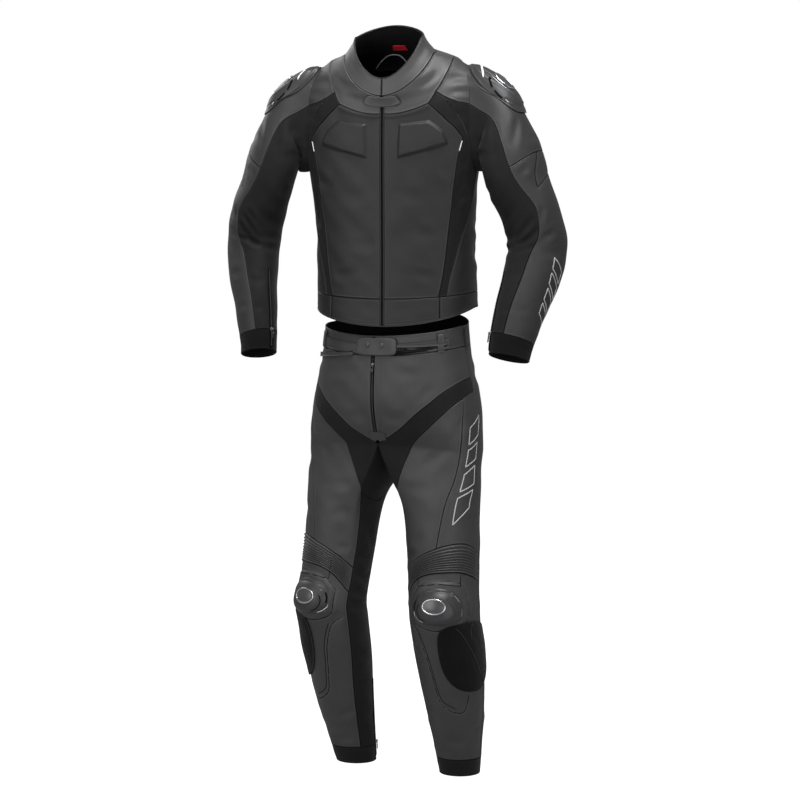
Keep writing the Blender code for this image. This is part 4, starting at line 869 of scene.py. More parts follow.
class Panel:
    """One panel laid on its surface: its grids with their heights, and its mesh."""

    def __init__(self, name, side, blocks):
        self.name, self.side, self.grids = name, side, []
        self.surface, self.slot, self.look, self.wall, self.held, *self.flat = PANELS[name]
        deep = ROLL_DEEP if self.look in LEATHERS else 0.8 * ROLL_DEEP
        for block in blocks:
            for one in "LR" if name in WHOLE else side:
                points, normal = place(self.surface, block.uv, one)
                across, along, border = border_distance(block, points)
                flat, shape = points.reshape(-1, 3), border.shape
                soft = creased(flat, "B" if name in WHOLE else side, CREASES[self.surface]).reshape(shape)
                soft += uneven(flat).reshape(shape) * smooth(border, 0, 0.03)
                lift, seam_near = self.relief(block, flat, one, border)
                outer = points + normal * (soft + (seam_roll(border, deep) + lift))[..., None]
                self.grids.append(dict(
                    block=block, side=one, points=points, normal=normal, soft=soft, outer=outer,
                    seam=seam_near, across=across, along=along,
                ))

    def relief(self, block, flat, side, border):
        """Heights of pads, ribs and grooves, and the distance to the nearest seam or groove."""
        lift, seam_near, shape = np.zeros(border.shape), border.copy(), border.shape
        for panel, places, curved, closed, high, slope, groove in OUTLINES:
            if panel == self.name:
                path, _, _ = on_surface(self.surface, places, side, curved, closed)
                d = distance_to(flat, path).reshape(shape)
                lift -= groove * bump(d / (GROOVE_WIDE if groove > 0 else RIDGE_WIDE))
                if high:
                    k = np.linspace(0, len(places), 12 * len(places), endpoint=False)
                    corners = through(numbered(places + places[:1]), k) if curved else places
                    within = inside(block.uv.reshape(-1, 2), corners).reshape(shape)
                    lift += np.where(within, high * smooth(d, -0.001, slope), 0)
                # a groove counts as a seam here, for the painted shade in it and the lighter band beside it
                if groove > 0.001:
                    seam_near = np.minimum(seam_near, d)
        if self.name == "knee_stretch":
            across, down = block.share[..., 0], block.share[..., 1]
            edge = smooth(across, 0, .12) * smooth(1 - across, 0, .12)
            lift += RIB_HIGH * (0.5 - 0.5 * np.cos(2 * np.pi * KNEE_RIBS * down)) ** 0.75 * edge
        return lift, seam_near

    def values(self, *keys):
        """Values of all the grids' points, by key."""
        return [np.concatenate([g[key].reshape(-1, *g[key].shape[2:]) for g in self.grids]) for key in keys]

    def build(self):
        """Closed thin shell: outer face, inner face one wall below the soft form, walls along its edges."""
        base, normal, outer, soft, near, across, along = self.values(
            "points", "normal", "outer", "soft", "seam", "across", "along")
        first, same = welded(base)
        faces, start = [], 0
        for g in self.grids:
            index = same[start : start + g["soft"].size].reshape(g["soft"].shape)
            start += index.size
            quads = grid_faces(index)
            faces.append(quads[:, ::-1] if faces_inwards(g["points"], g["normal"]) else quads)
        faces, n = np.concatenate(faces), len(first)
        inner = base[first] + normal[first] * (soft[first] - self.wall)[:, None]
        edges = np.concatenate([faces[:, [i, (i + 1) % 4]] for i in range(4)])
        code, back = edges[:, 0] * n + edges[:, 1], edges[:, 1] * n + edges[:, 0]
        rim = edges[~np.isin(code, back)]
        walls = np.stack([rim[:, 1], rim[:, 0], rim[:, 0] + n, rim[:, 1] + n], 1)
        every = np.concatenate([faces, faces[:, ::-1] + n, walls])
        look = np.concatenate([np.zeros(len(faces)), np.ones(len(faces)), np.zeros(len(walls))])
        name = self.name if self.name in WHOLE else f"{self.name}_{self.side}"
        flow = np.stack([across[first], along[first], 0 * soft[first]], -1)
        values = [("seam", np.tile(near[first], 2)), ("flow", np.tile(flow, (2, 1)))]
        shell = np.concatenate([outer[first], inner])
        obj = new_mesh(name + "_cloth", shell, every, [self.look, "lining"], look, values)
        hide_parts(name)


# ---------------------------------------------------------------- parts made of arrays
def join(parts):
    """One mesh from several (points, faces)."""
    starts = np.cumsum([0] + [len(p) for p, _ in parts[:-1]])
    return np.concatenate([p for p, _ in parts]), np.concatenate([f + s for (_, f), s in zip(parts, starts)])


def piece(name, parts, look, node=None, body="suit", values=()):
    points, faces = join(parts)
    obj = new_mesh(name, points, faces, look, values=values, body=body)
    if node:
        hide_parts(node)
    return obj


def between(top, bottom):
    """Closed solid between two grids of the same shape."""
    rows, columns = top.shape[:2]
    n = rows * columns
    index = np.arange(n).reshape(rows, columns)
    quads = grid_faces(index)
    loop = np.concatenate([index[:, 0], index[-1, 1:], index[-2::-1, -1], index[0, -2:0:-1]])
    wall = np.stack([np.roll(loop, -1), loop, loop + n, np.roll(loop, -1) + n], -1)
    faces = np.concatenate([quads, quads[:, ::-1] + n, wall[:, ::-1]])
    if faces_inwards(top, top - bottom):
        faces = faces[:, ::-1]
    return np.concatenate([top.reshape(-1, 3), bottom.reshape(-1, 3)]), faces


def tube(points, normal, wide, high, sides=8, closed=False):
    """Oval tube along a path: side * wide * cos a + normal * high * sin a, rounded off at open ends."""
    tangent = unit(np.gradient(points, axis=0))
    side = unit(np.cross(normal, tangent))
    normal = np.cross(tangent, side)
    a = np.arange(sides) * 2 * np.pi / sides
    scale = np.ones(len(points))
    if not closed:
        scale[[0, -1]], scale[[1, -2]] = 0.08, 0.75
    across, up = wide * np.cos(a)[:, None], high * np.sin(a)[:, None]
    ring = side[:, None] * across + normal[:, None] * up
    grid = points[:, None] + ring * scale[:, None, None]
    index = np.arange(len(points) * sides).reshape(len(points), sides)
    below = np.roll(index, -1, 0) if closed else index[1:]
    index = index if closed else index[:-1]
    faces = np.stack([index, np.roll(index, -1, 1), np.roll(below, -1, 1), below], -1).reshape(-1, 4)
    return grid.reshape(-1, 3), faces


def boxes(centre, axes, halves):
    """Many small blocks: centres (n, 3), axes three (n, 3) and half sizes along them."""
    corner = np.array([[i, j, k] for i in (-1, 1) for j in (-1, 1) for k in (-1, 1)], float) * halves
    points = centre[:, None] + sum(corner[None, :, i, None] * axes[i][:, None] for i in range(3))
    sides = np.array([[0, 1, 3, 2], [4, 6, 7, 5], [0, 4, 5, 1], [2, 3, 7, 6], [0, 2, 6, 4], [1, 5, 7, 3]])
    return points.reshape(-1, 3), (sides[None] + 8 * np.arange(len(centre))[:, None, None]).reshape(-1, 4)


def ring_faces(n, pairs):
    """Quads between rings of n points, for pairs of ring numbers."""
    ring = np.arange(n)
    after = np.roll(ring, -1)
    return np.concatenate([
        np.stack([ring + i * n, after + i * n, after + j * n, ring + j * n], -1) for i, j in pairs
    ])


def plate(outline, hole, centre, axes, thick, bevel):
    """A flat part with an outline in its own plane, an eased upper edge, and a hole or none, ring by ring."""
    middle = outline.mean(0)
    reach = np.linalg.norm(outline - middle, axis=-1, keepdims=True)
    inset = middle + (outline - middle) * (1 - bevel / reach)
    inner = middle + (outline - middle) * 0.03 if hole is None else hole
    rings = [(outline, 0), (outline, thick - bevel), (inset, thick), (inner, thick), (inner, 0)]
    points = np.concatenate([centre + p @ np.array(axes[:2]) + h * axes[2] for p, h in rings])
    return points, ring_faces(len(outline), ((0, 1), (1, 2), (2, 3), (3, 4), (4, 0)))


def squared(a, power):
    """x and y at angles a of a unit circle, squarer for a larger power: cos a and sin a over their length."""
    c, s = np.cos(a), np.sin(a)
    k = (np.abs(c) ** power + np.abs(s) ** power) ** (-1 / power)
    return c * k, s * k


def rounded(half_x, half_y, power, n=28, middle=(0, 0), taper=0.0):
    """Outline of a rounded block, narrower by taper at its far end."""
    x, y = squared(np.arange(n) * 2 * np.pi / n, power)
    return np.stack([middle[0] + half_x * x * (1 - taper * (y + 1) / 2), middle[1] + half_y * y], -1)


def turned_part(centre, axes, profile, n=24):
    """Part turned about axes[2]: profile rows are radius and height."""
    a = np.arange(n) * 2 * np.pi / n
    circle = np.cos(a)[:, None] * axes[0] + np.sin(a)[:, None] * axes[1]
    points = np.concatenate([centre + r * circle + h * axes[2] for r, h in profile])
    return points, ring_faces(n, [(i, i + 1) for i in range(len(profile) - 1)])


def frame_at(surface, uv, side):
    """A place on a surface with its axes: along u, along v, and out."""
    points, normal = place(surface, np.array([uv, (uv[0], uv[1] + 0.02)], float), side)
    out = unit(normal[0])
    along = points[1] - points[0]
    along = unit(along - (along @ out) * out)
    return points[0], [np.cross(along, out), along, out]


def cloth_height(surface, points, side):
    """Height of the soft form of the panels at points, so that what is sewn on follows them."""
    return creased(points, side, CREASES[surface]) + uneven(points)


def disc(n, power):
    """Grid of points in the unit disc, or in a rounded square for a larger power, and each point's share of
    the way from the middle to the rim."""
    x, y = np.meshgrid(np.linspace(-1, 1, n + 1), np.linspace(-1, 1, n + 1), indexing="ij")
    square = np.maximum(np.abs(x), np.abs(y))
    length = (np.abs(x) ** power + np.abs(y) ** power) ** (1 / power)
    k = np.where(square > 0, square / np.maximum(length, 1e-9), 0)
    return x * k, y * k, square


def laid(surface, uv, side, clear, high, soft=True):
    """Closed solid on a surface between clear and clear + high, which may vary over the grid."""
    points, normal = place(surface, uv, side)
    if soft:
        clear = clear + cloth_height(surface, points.reshape(-1, 3), side).reshape(points.shape[:2])
    clear = np.broadcast_to(clear, points.shape[:2])
    return between(points + normal * (clear + high)[..., None], points + normal * clear[..., None])


# ---------------------------------------------------------------- sewing
def beside(grid, side, distance):
    """The line on a panel's outer face at a distance from one of its borders: points and normals."""
    along = grid["across"] if side in "LR" else grid["along"].T
    outer, normal = grid["outer"], grid["normal"]
    if side in "BT":
        outer, normal = outer.swapaxes(0, 1), normal.swapaxes(0, 1)
    if side in "RT":
        along, outer, normal = (along[-1:] - along)[::-1], outer[::-1], normal[::-1]
    edge, inwards = unit(np.gradient(outer[0], axis=0)), unit(outer[3] - outer[0])
    slant = np.sqrt(1 - np.sum(edge * inwards, -1) ** 2).clip(0.4)
    need = distance / slant
    i, k = np.clip(np.sum(along < need, axis=0), 1, len(along) - 1), np.arange(along.shape[1])
    t = np.clip((need - along[i - 1, k]) / np.maximum(along[i, k] - along[i - 1, k], 1e-9), 0, 1)[:, None]
    return outer[i - 1, k] * (1 - t) + outer[i, k] * t, unit(normal[i, k]), along[-1] > 2.2 * distance


def stitches(points, normal, pitch=STITCH_PITCH, ends=2.0):
    """Places, directions and normals of the stitches along a line, from some pitches after its start on."""
    length = lengths(points)
    if length[-1] < 4 * pitch:
        return np.zeros((3, 0, 3))
    s = np.arange(ends * pitch, length[-1] - ends * pitch, pitch)
    along = unit(read_at(s + pitch / 3, length, points) - read_at(s - pitch / 3, length, points))
    return np.stack([read_at(s, length, points), along, unit(read_at(s, length, normal))])


def thread(rows):
    """Stitches as small tapered three-sided capsules, (points, triangles)."""
    centre, along, out = np.concatenate([r for r in rows if r.shape[1]], axis=1)
    a = np.radians([90, 210, 330])
    stations = [(-.5, 0), (-.32, 1), (.32, 1), (.5, 0)]
    local = np.array([
        (x * STITCH_LONG, np.cos(b) * w * STITCH_THICK / 2, np.sin(b) * w * STITCH_THICK / 2)
        for x, w in stations for b in (a if w else a[:1])
    ])
    x, y, z = local.T[:, None, :, None]
    points = centre[:, None] + x * along[:, None] + y * np.cross(out, along)[:, None] + z * out[:, None]
    after = [1, 2, 0]
    one = [[0, 1 + i, 1 + after[i]] for i in range(3)] + [[7, 4 + after[i], 4 + i] for i in range(3)]
    for i in range(3):
        one += [[1 + i, 4 + i, 1 + after[i]], [4 + i, 4 + after[i], 1 + after[i]]]
    starts = 8 * np.arange(len(centre))[:, None, None]
    return points.reshape(-1, 3), (np.array(one)[None] + starts).reshape(-1, 3)


# Where a panel has a second row of stitches: its border, and how far the row is from it.
SECOND_ROW = {
    "thigh_front": ("R", .0100), "back_leg": ("L", .0100), "front": ("L", .0100), "hip_front": ("L", .0110),
    "hem": ("B", .0100), "shin": ("B", .0090), "sleeve_upper": ("T", .0090), "yoke": ("B", .0090),
}


def sew(panels):
    """The topstitching beside the seams of all leather panels, as one mesh for each garment and side."""
    rows = {}
    for panel in panels:
        if panel.look not in LEATHERS:
            continue
        where = "trousers" if panel.surface is trousers else "jacket"
        second, far = SECOND_ROW.get(panel.name, ("", 0))
        for grid in panel.grids:
            for side, first, last in grid["block"].seams:
                for distance in (STITCH_INSET, far) if second == side else (STITCH_INSET,):
                    points, normal, wide = beside(grid, side, distance)
                    use = grid["block"].spanned(side, first, last) & wide
                    if use.sum() > 3:
                        row = stitches(points[use] + STITCH_LIFT * normal[use], normal[use])
                        rows.setdefault(where + "_" + grid["side"], []).append(row)
    for where, found in rows.items():
        piece("stitches_" + where, [thread(found)], "thread")


# ---------------------------------------------------------------- zips, sliders and pulls
def zip_path(surface, u, v, side):
    """Points, directions and normals of the line at u through all v."""
    points, normal = place(surface, np.stack([np.broadcast_to(u, v.shape), v], -1), side)
    return points, unit(np.gradient(points, axis=0)), unit(normal)


def make_zip(name, path, half, clear, teeth_look):
    """A closed zip along a path: its tape is a thin strip, its teeth two rows of small blocks in turn."""
    points, along, out = path
    across = unit(np.cross(out, along))
    x = np.array([-half, -half * .55, 0, half * .55, half])
    rise = clear + np.array([0, .2, .5, .2, 0]) * MM
    top = points[None] + across[None] * x[:, None, None] + out[None] * rise[:, None, None]
    piece(name + "_tape", [between(top, top - out[None] * TAPE_THICK)], "black", name)
    length = lengths(points)
    s = np.arange(0.003, length[-1] - 0.003, TOOTH_PITCH)
    axes = [unit(read_at(s, length, axis)) for axis in (across, along, out)]
    off = np.where(np.arange(len(s)) % 2, 1, -1)[:, None] * 0.0007
    centre = read_at(s, length, points) + axes[0] * off + axes[2] * (clear + TAPE_THICK)
    teeth = boxes(centre, axes, np.array([.0013, .00085, .0005]))
    piece(name + "_teeth", [teeth], teeth_look)


def slider_and_pull(name, foot, down, out, reach):
    """The slider, a tapered body with an arched bridge, rides on the suit. Its pull turns about the pin under
    the bridge."""
    down = unit(down)
    out = unit(out - (out @ down) * down)
    axis = np.cross(down, out)
    axes = [axis, down, out]
    top = foot + out * 0.0016
    pin = top + out * 0.00175
    body = plate(rounded(.0031, .0046, 4, taper=.2), None, foot - out * .0008, axes, .0024, .0005)
    a = np.linspace(0, np.pi, 13)
    arch = top + np.cos(a)[:, None] * down * .0024 + np.sin(a)[:, None] ** .7 * out * .0040
    bridge = tube(arch, np.broadcast_to(axis, arch.shape), .0006, .0010)
    piece(name + "_slider", [body, bridge], "metal")
    outline = rounded(.004, (reach + .001) / 2, 4.5, 32, (0, (reach - .001) / 2), .22)
    hole = rounded(.0022, .0035, 4.5, 32, (0, .0045))
    parts = [plate(outline, hole, pin - out * .0007, axes, .0014, .0003)]
    rib = np.linspace(-.0018, .0018, 6)[:, None] * axis
    for y in np.arange(.011, reach - .002, .0022):
        parts.append(tube(pin + down * y + rib + out * .0007, np.tile(out, (6, 1)), .0005, .0004))
    piece(name + "_tab", parts, "dark_metal", name, body=name)


def slider_on(name, surface, t, at, side, step, lift, reach):
    """A slider and its pull on a zip at (t, at), with its way down read a step to each side."""
    points, normal = place(surface, np.array([[t, at], [t, at - step], [t, at + step]]), side)
    slider_and_pull(name, points[0] + normal[0] * lift, points[2] - points[1], normal[0], reach)


CLOSED_ZIPS = [
    # zip, pull, surface, angle, start, end, slider at, clear
    ("cuff_zip", "cuff_pull", sleeve, 148.0, 6.1, 8.3, 7.8, .0009),
    ("leg_zip", "leg_pull", trousers, 252.0, 7.6, 9.85, 9.35, .0004),
]


def make_closed_zips():
    for name, pull, surface, t, start, end, at, clear in CLOSED_ZIPS:
        for side in "LR":
            path = zip_path(surface, t, np.linspace(start, end, 90), side)
            make_zip(f"{name}_{side}", path, ZIP_HALF, clear + .0009, "dark_metal")
            slider_on(f"{pull}_{side}", surface, t, at, side, .05, clear + .0012, .022)


# ---------------------------------------------------------------- guards, patches, tabs and trims
GUARDS = {
    # guard: surface, middle, half size, squareness, thick, clear, crown, soft rim
    "shoulder_guard": (sleeve, (0, .80), (52, .66), 2.6, .003, .0014, .007, .5),
    "knee_guard": (trousers, (16, 4.88), (44, .76), 2.1, .003, .0017, .009, .55),
}
GUARD_LINES = {
    # guard: (its lines in the guard's own square, -1 to 1), half width, height or depth
    "shoulder_guard": [
        ([(-.86, -.35), (-.55, -.72), (0, -.84), (.5, -.74), (.84, -.4)], .060, .0013),
        ([(-.9, .1), (-.75, .55), (-.2, .82), (.4, .80), (.8, .5)], .055, -.0016),
        ([(.30, -.55), (.52, -.2), (.55, .25), (.35, .6)], .050, .0012),
        ([(.05, -.6), (.26, -.2), (.28, .25), (.1, .6)], .045, -.0013),
        ([(-.75, -.25), (-.45, -.5), (-.1, -.58)], .045, -.0012),
    ],
    "knee_guard": [
        ([(-.80, -.45), (-.92, 0), (-.80, .42), (-.4, .74), (0, .84), (.45, .72)], .040, -.0014),
        ([(-.62, -.45), (-.74, 0), (-.62, .36), (-.3, .62), (.05, .7)], .040, .0012),
        ([(.55, -.62), (.80, -.25), (.84, .15), (.68, .5)], .035, .0013),
        ([(.40, -.48), (.62, -.1), (.62, .3), (.45, .58)], .030, -.0010),
        ([(-.55, -.72), (0, -.80), (.5, -.76)], .045, -.0016),
    ],
}
GUARD_SETS = {
    # guard: (inserts and slots as (line, half width, height over the guard, look), badge's middle, half size)
    "shoulder_guard": ([
        ([(-.34, -.84), (-.22, -.54), (.10, -.37), (.34, -.31), (.58, -.28)], .0024, .0008, "piping"),
        ([(-.44, -.52), (-.32, -.38), (-.18, -.24)], .0030, .0004, "black"),
        ([(.46, -.12), (.64, -.06), (.78, .01)], .0032, .0004, "black"),
        ([(.82, .08), (.87, .22), (.86, .36)], .0032, .0004, "black"),
        ([(.80, .46), (.78, .51), (.76, .56)], .0030, .0010, "chrome"),
        ([(.84, -.46), (.96, -.12), (.96, .20), (.86, .50), (.60, .78)], .0007, .0004, "black"),
        ([(.30, -.10), (.45, .11), (.45, .36), (.32, .54)], .0012, .0006, "metal"),
        ([(-.62, .50), (-.40, .66), (-.10, .74)], .0028, .0004, "black"),
        ([(-.80, -.10), (-.74, .12), (-.62, .30)], .0012, .0005, "chrome"),
    ], (.06, .20), (.26, .22)),
    "knee_guard": ([
        ([(-.76, -.40), (-.84, -.18), (-.84, .08)], .0034, .0004, "black"),
        ([(-.94, .02), (-.90, .28), (-.72, .54), (-.50, .70)], .0010, .0006, "chrome"),
        ([(-.58, -.30), (-.66, .0), (-.56, .32), (-.34, .54)], .0016, .0003, "black"),
        ([(.60, -.66), (.72, -.52), (.82, -.36)], .0012, .0005, "metal"),
        ([(.88, -.1), (.90, .1), (.86, .3)], .0008, .0005, "metal"),
    ], (-.06, -.18), (.36, .30)),
}


def guard_height(name, local):
    """Outer height of a guard at a place in its own square: a dome, with raised and sunk lines."""
    *_, square, thick, _, crown, soft = GUARDS[name]
    rim = (np.abs(local[..., 0]) ** square + np.abs(local[..., 1]) ** square) ** (1 / square)
    height = thick * (.4 + .6 * smooth(1 - rim, 0, .16)) + crown * smooth(1 - rim, 0, soft)
    for places, wide, high in GUARD_LINES[name]:
        path = through(numbered(places), np.linspace(0, len(places) - 1, 12 * len(places)))
        d = path_distance(local.reshape(-1, 2), path).reshape(rim.shape)
        height = height + high * bump(d / wide) * smooth(1 - rim, 0, .12)
    return height


def on_guard(name, local, side):
    """Points of a guard's outer face and their normals, at places in its own square."""
    surface, middle, half, *_, clear, _, _ = GUARDS[name]
    points, normal = place(surface, np.array(middle) + local * half, side)
    return points + normal * (clear + guard_height(name, local))[..., None], unit(normal)


def make_guard(name, side):
    """A guard's shell, its inserts and slots by look, and its oval badge in a metal rim."""
    surface, middle, half, square, _, clear, *_ = GUARDS[name]
    x, y, _ = disc(round(64 * COARSE), square)
    local = np.stack([x, y], -1)
    body = laid(surface, np.array(middle) + local * half, side, clear, guard_height(name, local), soft=False)
    piece(f"{name}_{side}_shell", [body], "guard", f"{name}_{side}")
    inserts, centre, size = GUARD_SETS[name]
    for look in ("chrome", "black", "metal", "piping"):
        parts = []
        for places, wide, high, mine in inserts:
            if mine == look:
                path = through(numbered(places), np.linspace(0, len(places) - 1, 24))
                parts.append(tube(*on_guard(name, path, side), wide, high))
        if look == "chrome":
            a = np.linspace(0, 2 * np.pi, 48, endpoint=False)
            ring = np.array(centre) + np.stack([size[0] * np.cos(a), size[1] * np.sin(a)], -1)
            points, normal = on_guard(name, ring, side)
            parts.append(tube(points + normal * .0010, normal, .0019, .0013, closed=True))
        if parts:
            piece(f"{name}_{side}_{look}", parts, look)
    local, rim = oval(centre, size, 12)
    points, normal = on_guard(name, local, side)
    top = points + normal * (.0012 + .0010 * smooth(1 - rim, 0, .8))[..., None]
    piece(f"{name}_{side}_badge", [between(top, points - normal * .0004)], "badge")


def oval(middle, half, n, power=2.0):
    x, y, rim = disc(n, power)
    return np.stack([middle[0] + half[0] * x, middle[1] + half[1] * y], -1), rim


def trim(name, parts, look, node=None, edge=None):
    """A piece with the values that the cloth looks read: as if away from any seam, or edge as its points'
    distance from their own edge."""
    points, faces = join(parts)
    near = np.full(len(points), .02) if edge is None else np.tile(edge.ravel(), 2)
    values = [("seam", near), ("flow", points[:, [0, 2, 1]])]
    return piece(name, [(points, faces)], look, node, values=values)


def cloth_piece(name, body, look, node, edge=None):
    """A small sewn piece."""
    obj = trim(name, [body], look, node, edge)


def outline_stitches(surface, uv_points, side, lift):
    points, normal = place(surface, uv_points, side)
    return stitches(points + normal * lift, unit(normal), 3.6 * MM, ends=.3)


BELT_ENDS = {
    # strip: (side: lower and upper edge as (level at the tab, rise)), ends in u, power, rows, clear, thick
    "strap": ({"L": ((.30, .12), (.40, .10)), "R": ((.60, .28), (.72, .30))}, 16, 62, 1.0, 6, .0032, .0016),
    # slot: a black sheet of painted shadow behind the belt's free end
    "slot": ({"L": ((.28, .18), (.70, -.16)), "R": ((.56, .34), (.64, .34))}, 17, 60, 0.8, 8, .0022, .0008),
}


def belt_end(kind, side):
    """The free end of the belt from the tab to the first loop, or the black sheet of painted shadow behind it:
    a strip whose edges rise as k^power. On the wearer's right it hangs below the band."""
    sides, start, end, power, rows, clear, thick = BELT_ENDS[kind]
    u = np.linspace(start, end, 50)
    k = ((u - start) / (end - start)) ** power
    low, high = (level + rise * k for level, rise in sides[side])
    levels = low[:, None] + (high - low)[:, None] * np.linspace(0, 1, rows)
    return laid(trousers, on_waist(u[:, None], levels), side, clear, thick)


def fastened_tab(name, surface, to_uv, middle, half, power, lift, edge, look, row):
    """A tab with an eased edge, and the places of its row of stitches: row is that row's share of the half
    size each way."""
    tab, rim = oval(middle, half, 26, power)
    clear, thick, crown, slope = lift
    high = thick + crown * smooth(1 - rim, 0, slope)
    body = laid(surface, to_uv(tab[..., 0], tab[..., 1]), "L", clear, high)
    # edge makes the tab's rim read as a seam: painted shade round it and a lighter band of wear and painted
    # highlight
    cloth_piece(name + "_cloth", body, look, name, edge=edge[0] + edge[1] * (1 - rim))
    x, y = squared(np.linspace(0, 2 * np.pi, 90), power)
    return to_uv(middle[0] + half[0] * row[0] * x, middle[1] + half[1] * row[1] * y)


def make_belt():
    """The strap through the waistband with its stitches."""
    u, level = np.meshgrid(np.linspace(-62, 62, 90), np.linspace(.26, .62, 9), indexing="ij")
    edge = smooth(.5 - np.abs((level - .26) / .36 - .5), 0, .16)
    body = laid(trousers, on_waist(u, level), "L", .0009, .0012 + .0009 * edge)
    cloth_piece("waist_belt_cloth", body, "hide", "waist_belt")
    u = np.linspace(-60, 60, 120)
    return [outline_stitches(trousers, on_waist(u, at), "L", .0030) for at in (.31, .57)]


def belt_loop(side, at):
    """A loop over the strap at angle at, and its two rows of stitches."""
    u, level = np.meshgrid(at + np.linspace(-3.0, 3.0, 7), np.linspace(.06, .70, 16), indexing="ij")
    rise = .0026 * smooth(.5 - np.abs((level - .06) / .64 - .5), 0, .14)
    loop = laid(trousers, on_waist(u, level), side, .0008 + rise, .0013)
    along = np.linspace(.08, .68, 30)
    return loop, [outline_stitches(trousers, on_waist(at + d, along), side, .0046) for d in (-2.3, 2.3)]


def make_waist():
    """The belt, the tab over the fly with its two snaps, the loops, and the free ends with the black sheets of
    painted shadow behind them.
    """
    rows = make_belt()
    tab = fastened_tab(
        "belt_tab", trousers, on_waist, (3.2, .37), (16.5, .32), 6.0, (.0036, .0014, .0011, .12),
        (.0008, .018), "hide", (.90, .82),
    )
    rows.append(outline_stitches(trousers, tab, "L", .0063))
    loops = []
    for side in "LR":
        for at in (54.0, 92.0):
            loop, sewn = belt_loop(side, at)
            loops.append(loop)
            rows += sewn
        # a black sheet of painted shadow behind each free end of the belt
        piece("strap_shadow_" + side, [belt_end("slot", side)], "black")
        loops.append(belt_end("strap", side))
    trim("belt_loops", loops, "hide")
    piece("stitches_waist", [thread(rows)], "thread")
    cap = [
        (.0062, .0058), (.0062, .0068), (.0056, .0074), (.0046, .0074), (.0042, .0070), (.0036, .0078),
        (.0002, .0081),
    ]
    for name, at in (("snap_1", -4.2), ("snap_2", 7.6)):
        centre, axes = frame_at(trousers, on_waist(at, .32), "L")
        piece(name + "_cap", [turned_part(centre, axes, cap)], "dark_metal", name)


def make_front_zip():
    """The jacket's zip between its two welts."""
    path = zip_path(torso, 0.0, np.linspace(0.02, 9.72, 260), "L")
    make_zip("front_zip", path, .0046, -.0012, "black")
    points, along, out = path
    across = unit(np.cross(out, along))
    welts = [tube(points + across * .0034 * way + out * .0002, out, .0015, .0010) for way in (-1, 1)]
    trim("front_zip_welts", welts, "leather")


def make_fly():
    """The fly's zip with its slider, the tack at its foot and the stitches along its placket."""
    path = zip_path(trousers, FLY_T, np.linspace(-3.30, -0.12, 90), "L")
    make_zip("fly_zip", path, .0046, -.0012, "dark_metal")
    slider_on("fly_pull", trousers, FLY_T, -3.0, "L", .1, -.0008, .017)
    tack, rim = oval((-43.0, -.46), (8.0, .26), 14, 6.0)
    body = laid(trousers, tack, "L", .0007, .0012 + .0006 * smooth(1 - rim, 0, .2))
    trim("fly_tack", [body], "hide")
    t = np.interp(np.linspace(0, 1, 80), [0, .8, 1], [-34.6, -36.6, -41.0])
    placket = outline_stitches(trousers, np.stack([t, np.linspace(-3.25, -.78, 80)], -1), "L", .0004)
    piece("stitches_fly", [thread([placket])], "thread")


def make_collar_tab():
    """The tab over the zip's end, and its stitches."""
    on_torso = lambda u, level: np.stack([u, level], -1)
    row = fastened_tab("collar_tab", torso, on_torso, (0, 9.42), (17, .5), 5.0, (.0009, .0018, .0013, .10),
                       (.0007, .015), "satin", (.88, .80))
    piece("stitches_collar_tab", [thread([outline_stitches(torso, row, "L", .0044)])], "thread")


def make_label():
    """The loop label inside the neck."""
    u, level = np.meshgrid(np.linspace(172, 188, 14), np.linspace(9.5, 9.95, 9), indexing="ij")
    points, normal = place(torso, np.stack([u, level], -1), "L")
    body = between(points - normal * .0071, points - normal * .0083)
    cloth_piece("label_cloth", body, "red", "label")


def make_collar_lining():
    """The lining of neck and collar, from the shoulders' inside to the collar's edge, with its piped arc."""
    u = torso_panels()["collar"][0].uv[:, 0, 0]
    u = np.concatenate([u, 360 - u[-2::-1]])
    foot = np.array([[0, 9.75], [35, 9.6], [80, 9.0], [130, 8.35], [180, 8.2]])
    low = through(foot, np.minimum(u, 360 - u))
    k = np.linspace(0, 1, 12)
    below, n0 = place(torso, np.stack(np.broadcast_arrays(u[:, None], low + (NECK - low) * k), -1), "L")
    above, n1 = place(collar, np.stack(np.broadcast_arrays(u[:, None], k[1:][None]), -1), "L")
    points, normal = np.concatenate([below, above], 1), np.concatenate([n0, n1], 1)
    inset = (LEATHER + np.concatenate([.0054 - .0045 * k, np.full(11, .0009)]))[None, :, None]
    body = between(points - normal * (inset + .0014), points - normal * inset)
    cloth_piece("collar_lining_cloth", body, "lining", "collar_lining")
    arc = [
        (200.5, 8.32), (198.5, 8.6), (195, 8.88), (191, 9.06), (186.5, 9.1), (182, 9.0), (178.5, 8.75),
        (176.5, 8.45),
    ]
    points, _, normal = on_surface(torso, arc, "L")
    body = tube(points - normal * .0098, normal, .0016, .0014)
    piece("lining_piping", [body], "grey_print")


def binding(name, surface, uv, look):
    """A rolled edge round an opening."""
    points, normal = place(surface, uv, "L")
    body = tube(points - normal * .0010, normal, .0014, .0017, closed=True)
    # a seam value of 2.2 mm lays the whole binding in the lighter band of wear and painted highlight
    piece(name, [body], look, values=[("seam", np.full(len(body[0]), .0022))])


def make_bindings():
    """Rolled edges at collar, hem and waist, and the white piping at the sides of the chest."""
    ring = np.linspace(0, 359, 240)
    binding("collar_binding", collar, np.stack([ring, 0 * ring + 1], -1), "leather")
    binding("hem_binding", torso, np.stack([ring, 0 * ring], -1), "leather")
    binding("waist_binding", trousers, on_waist(ring - 180, 0), "hide")
    for side in "LR":
        points, normal = place(torso, through(FRONT_EDGE, np.linspace(8.2, 8.82, 30)), side)
        body = tube(points + normal * .0006, normal, .0011, .0011)
        piece("chest_piping_" + side, [body], "piping")


BARS = [
    # name, surface, side, start, end, count, half width in angle, slant along
    ("thigh_bars", trousers, "L", (84, -1.45), (54, 2.40), 4, 15.0, .20),
    ("sleeve_bars", sleeve, "L", (18, 5.50), (6, 7.15), 4, 17.0, .13),
]


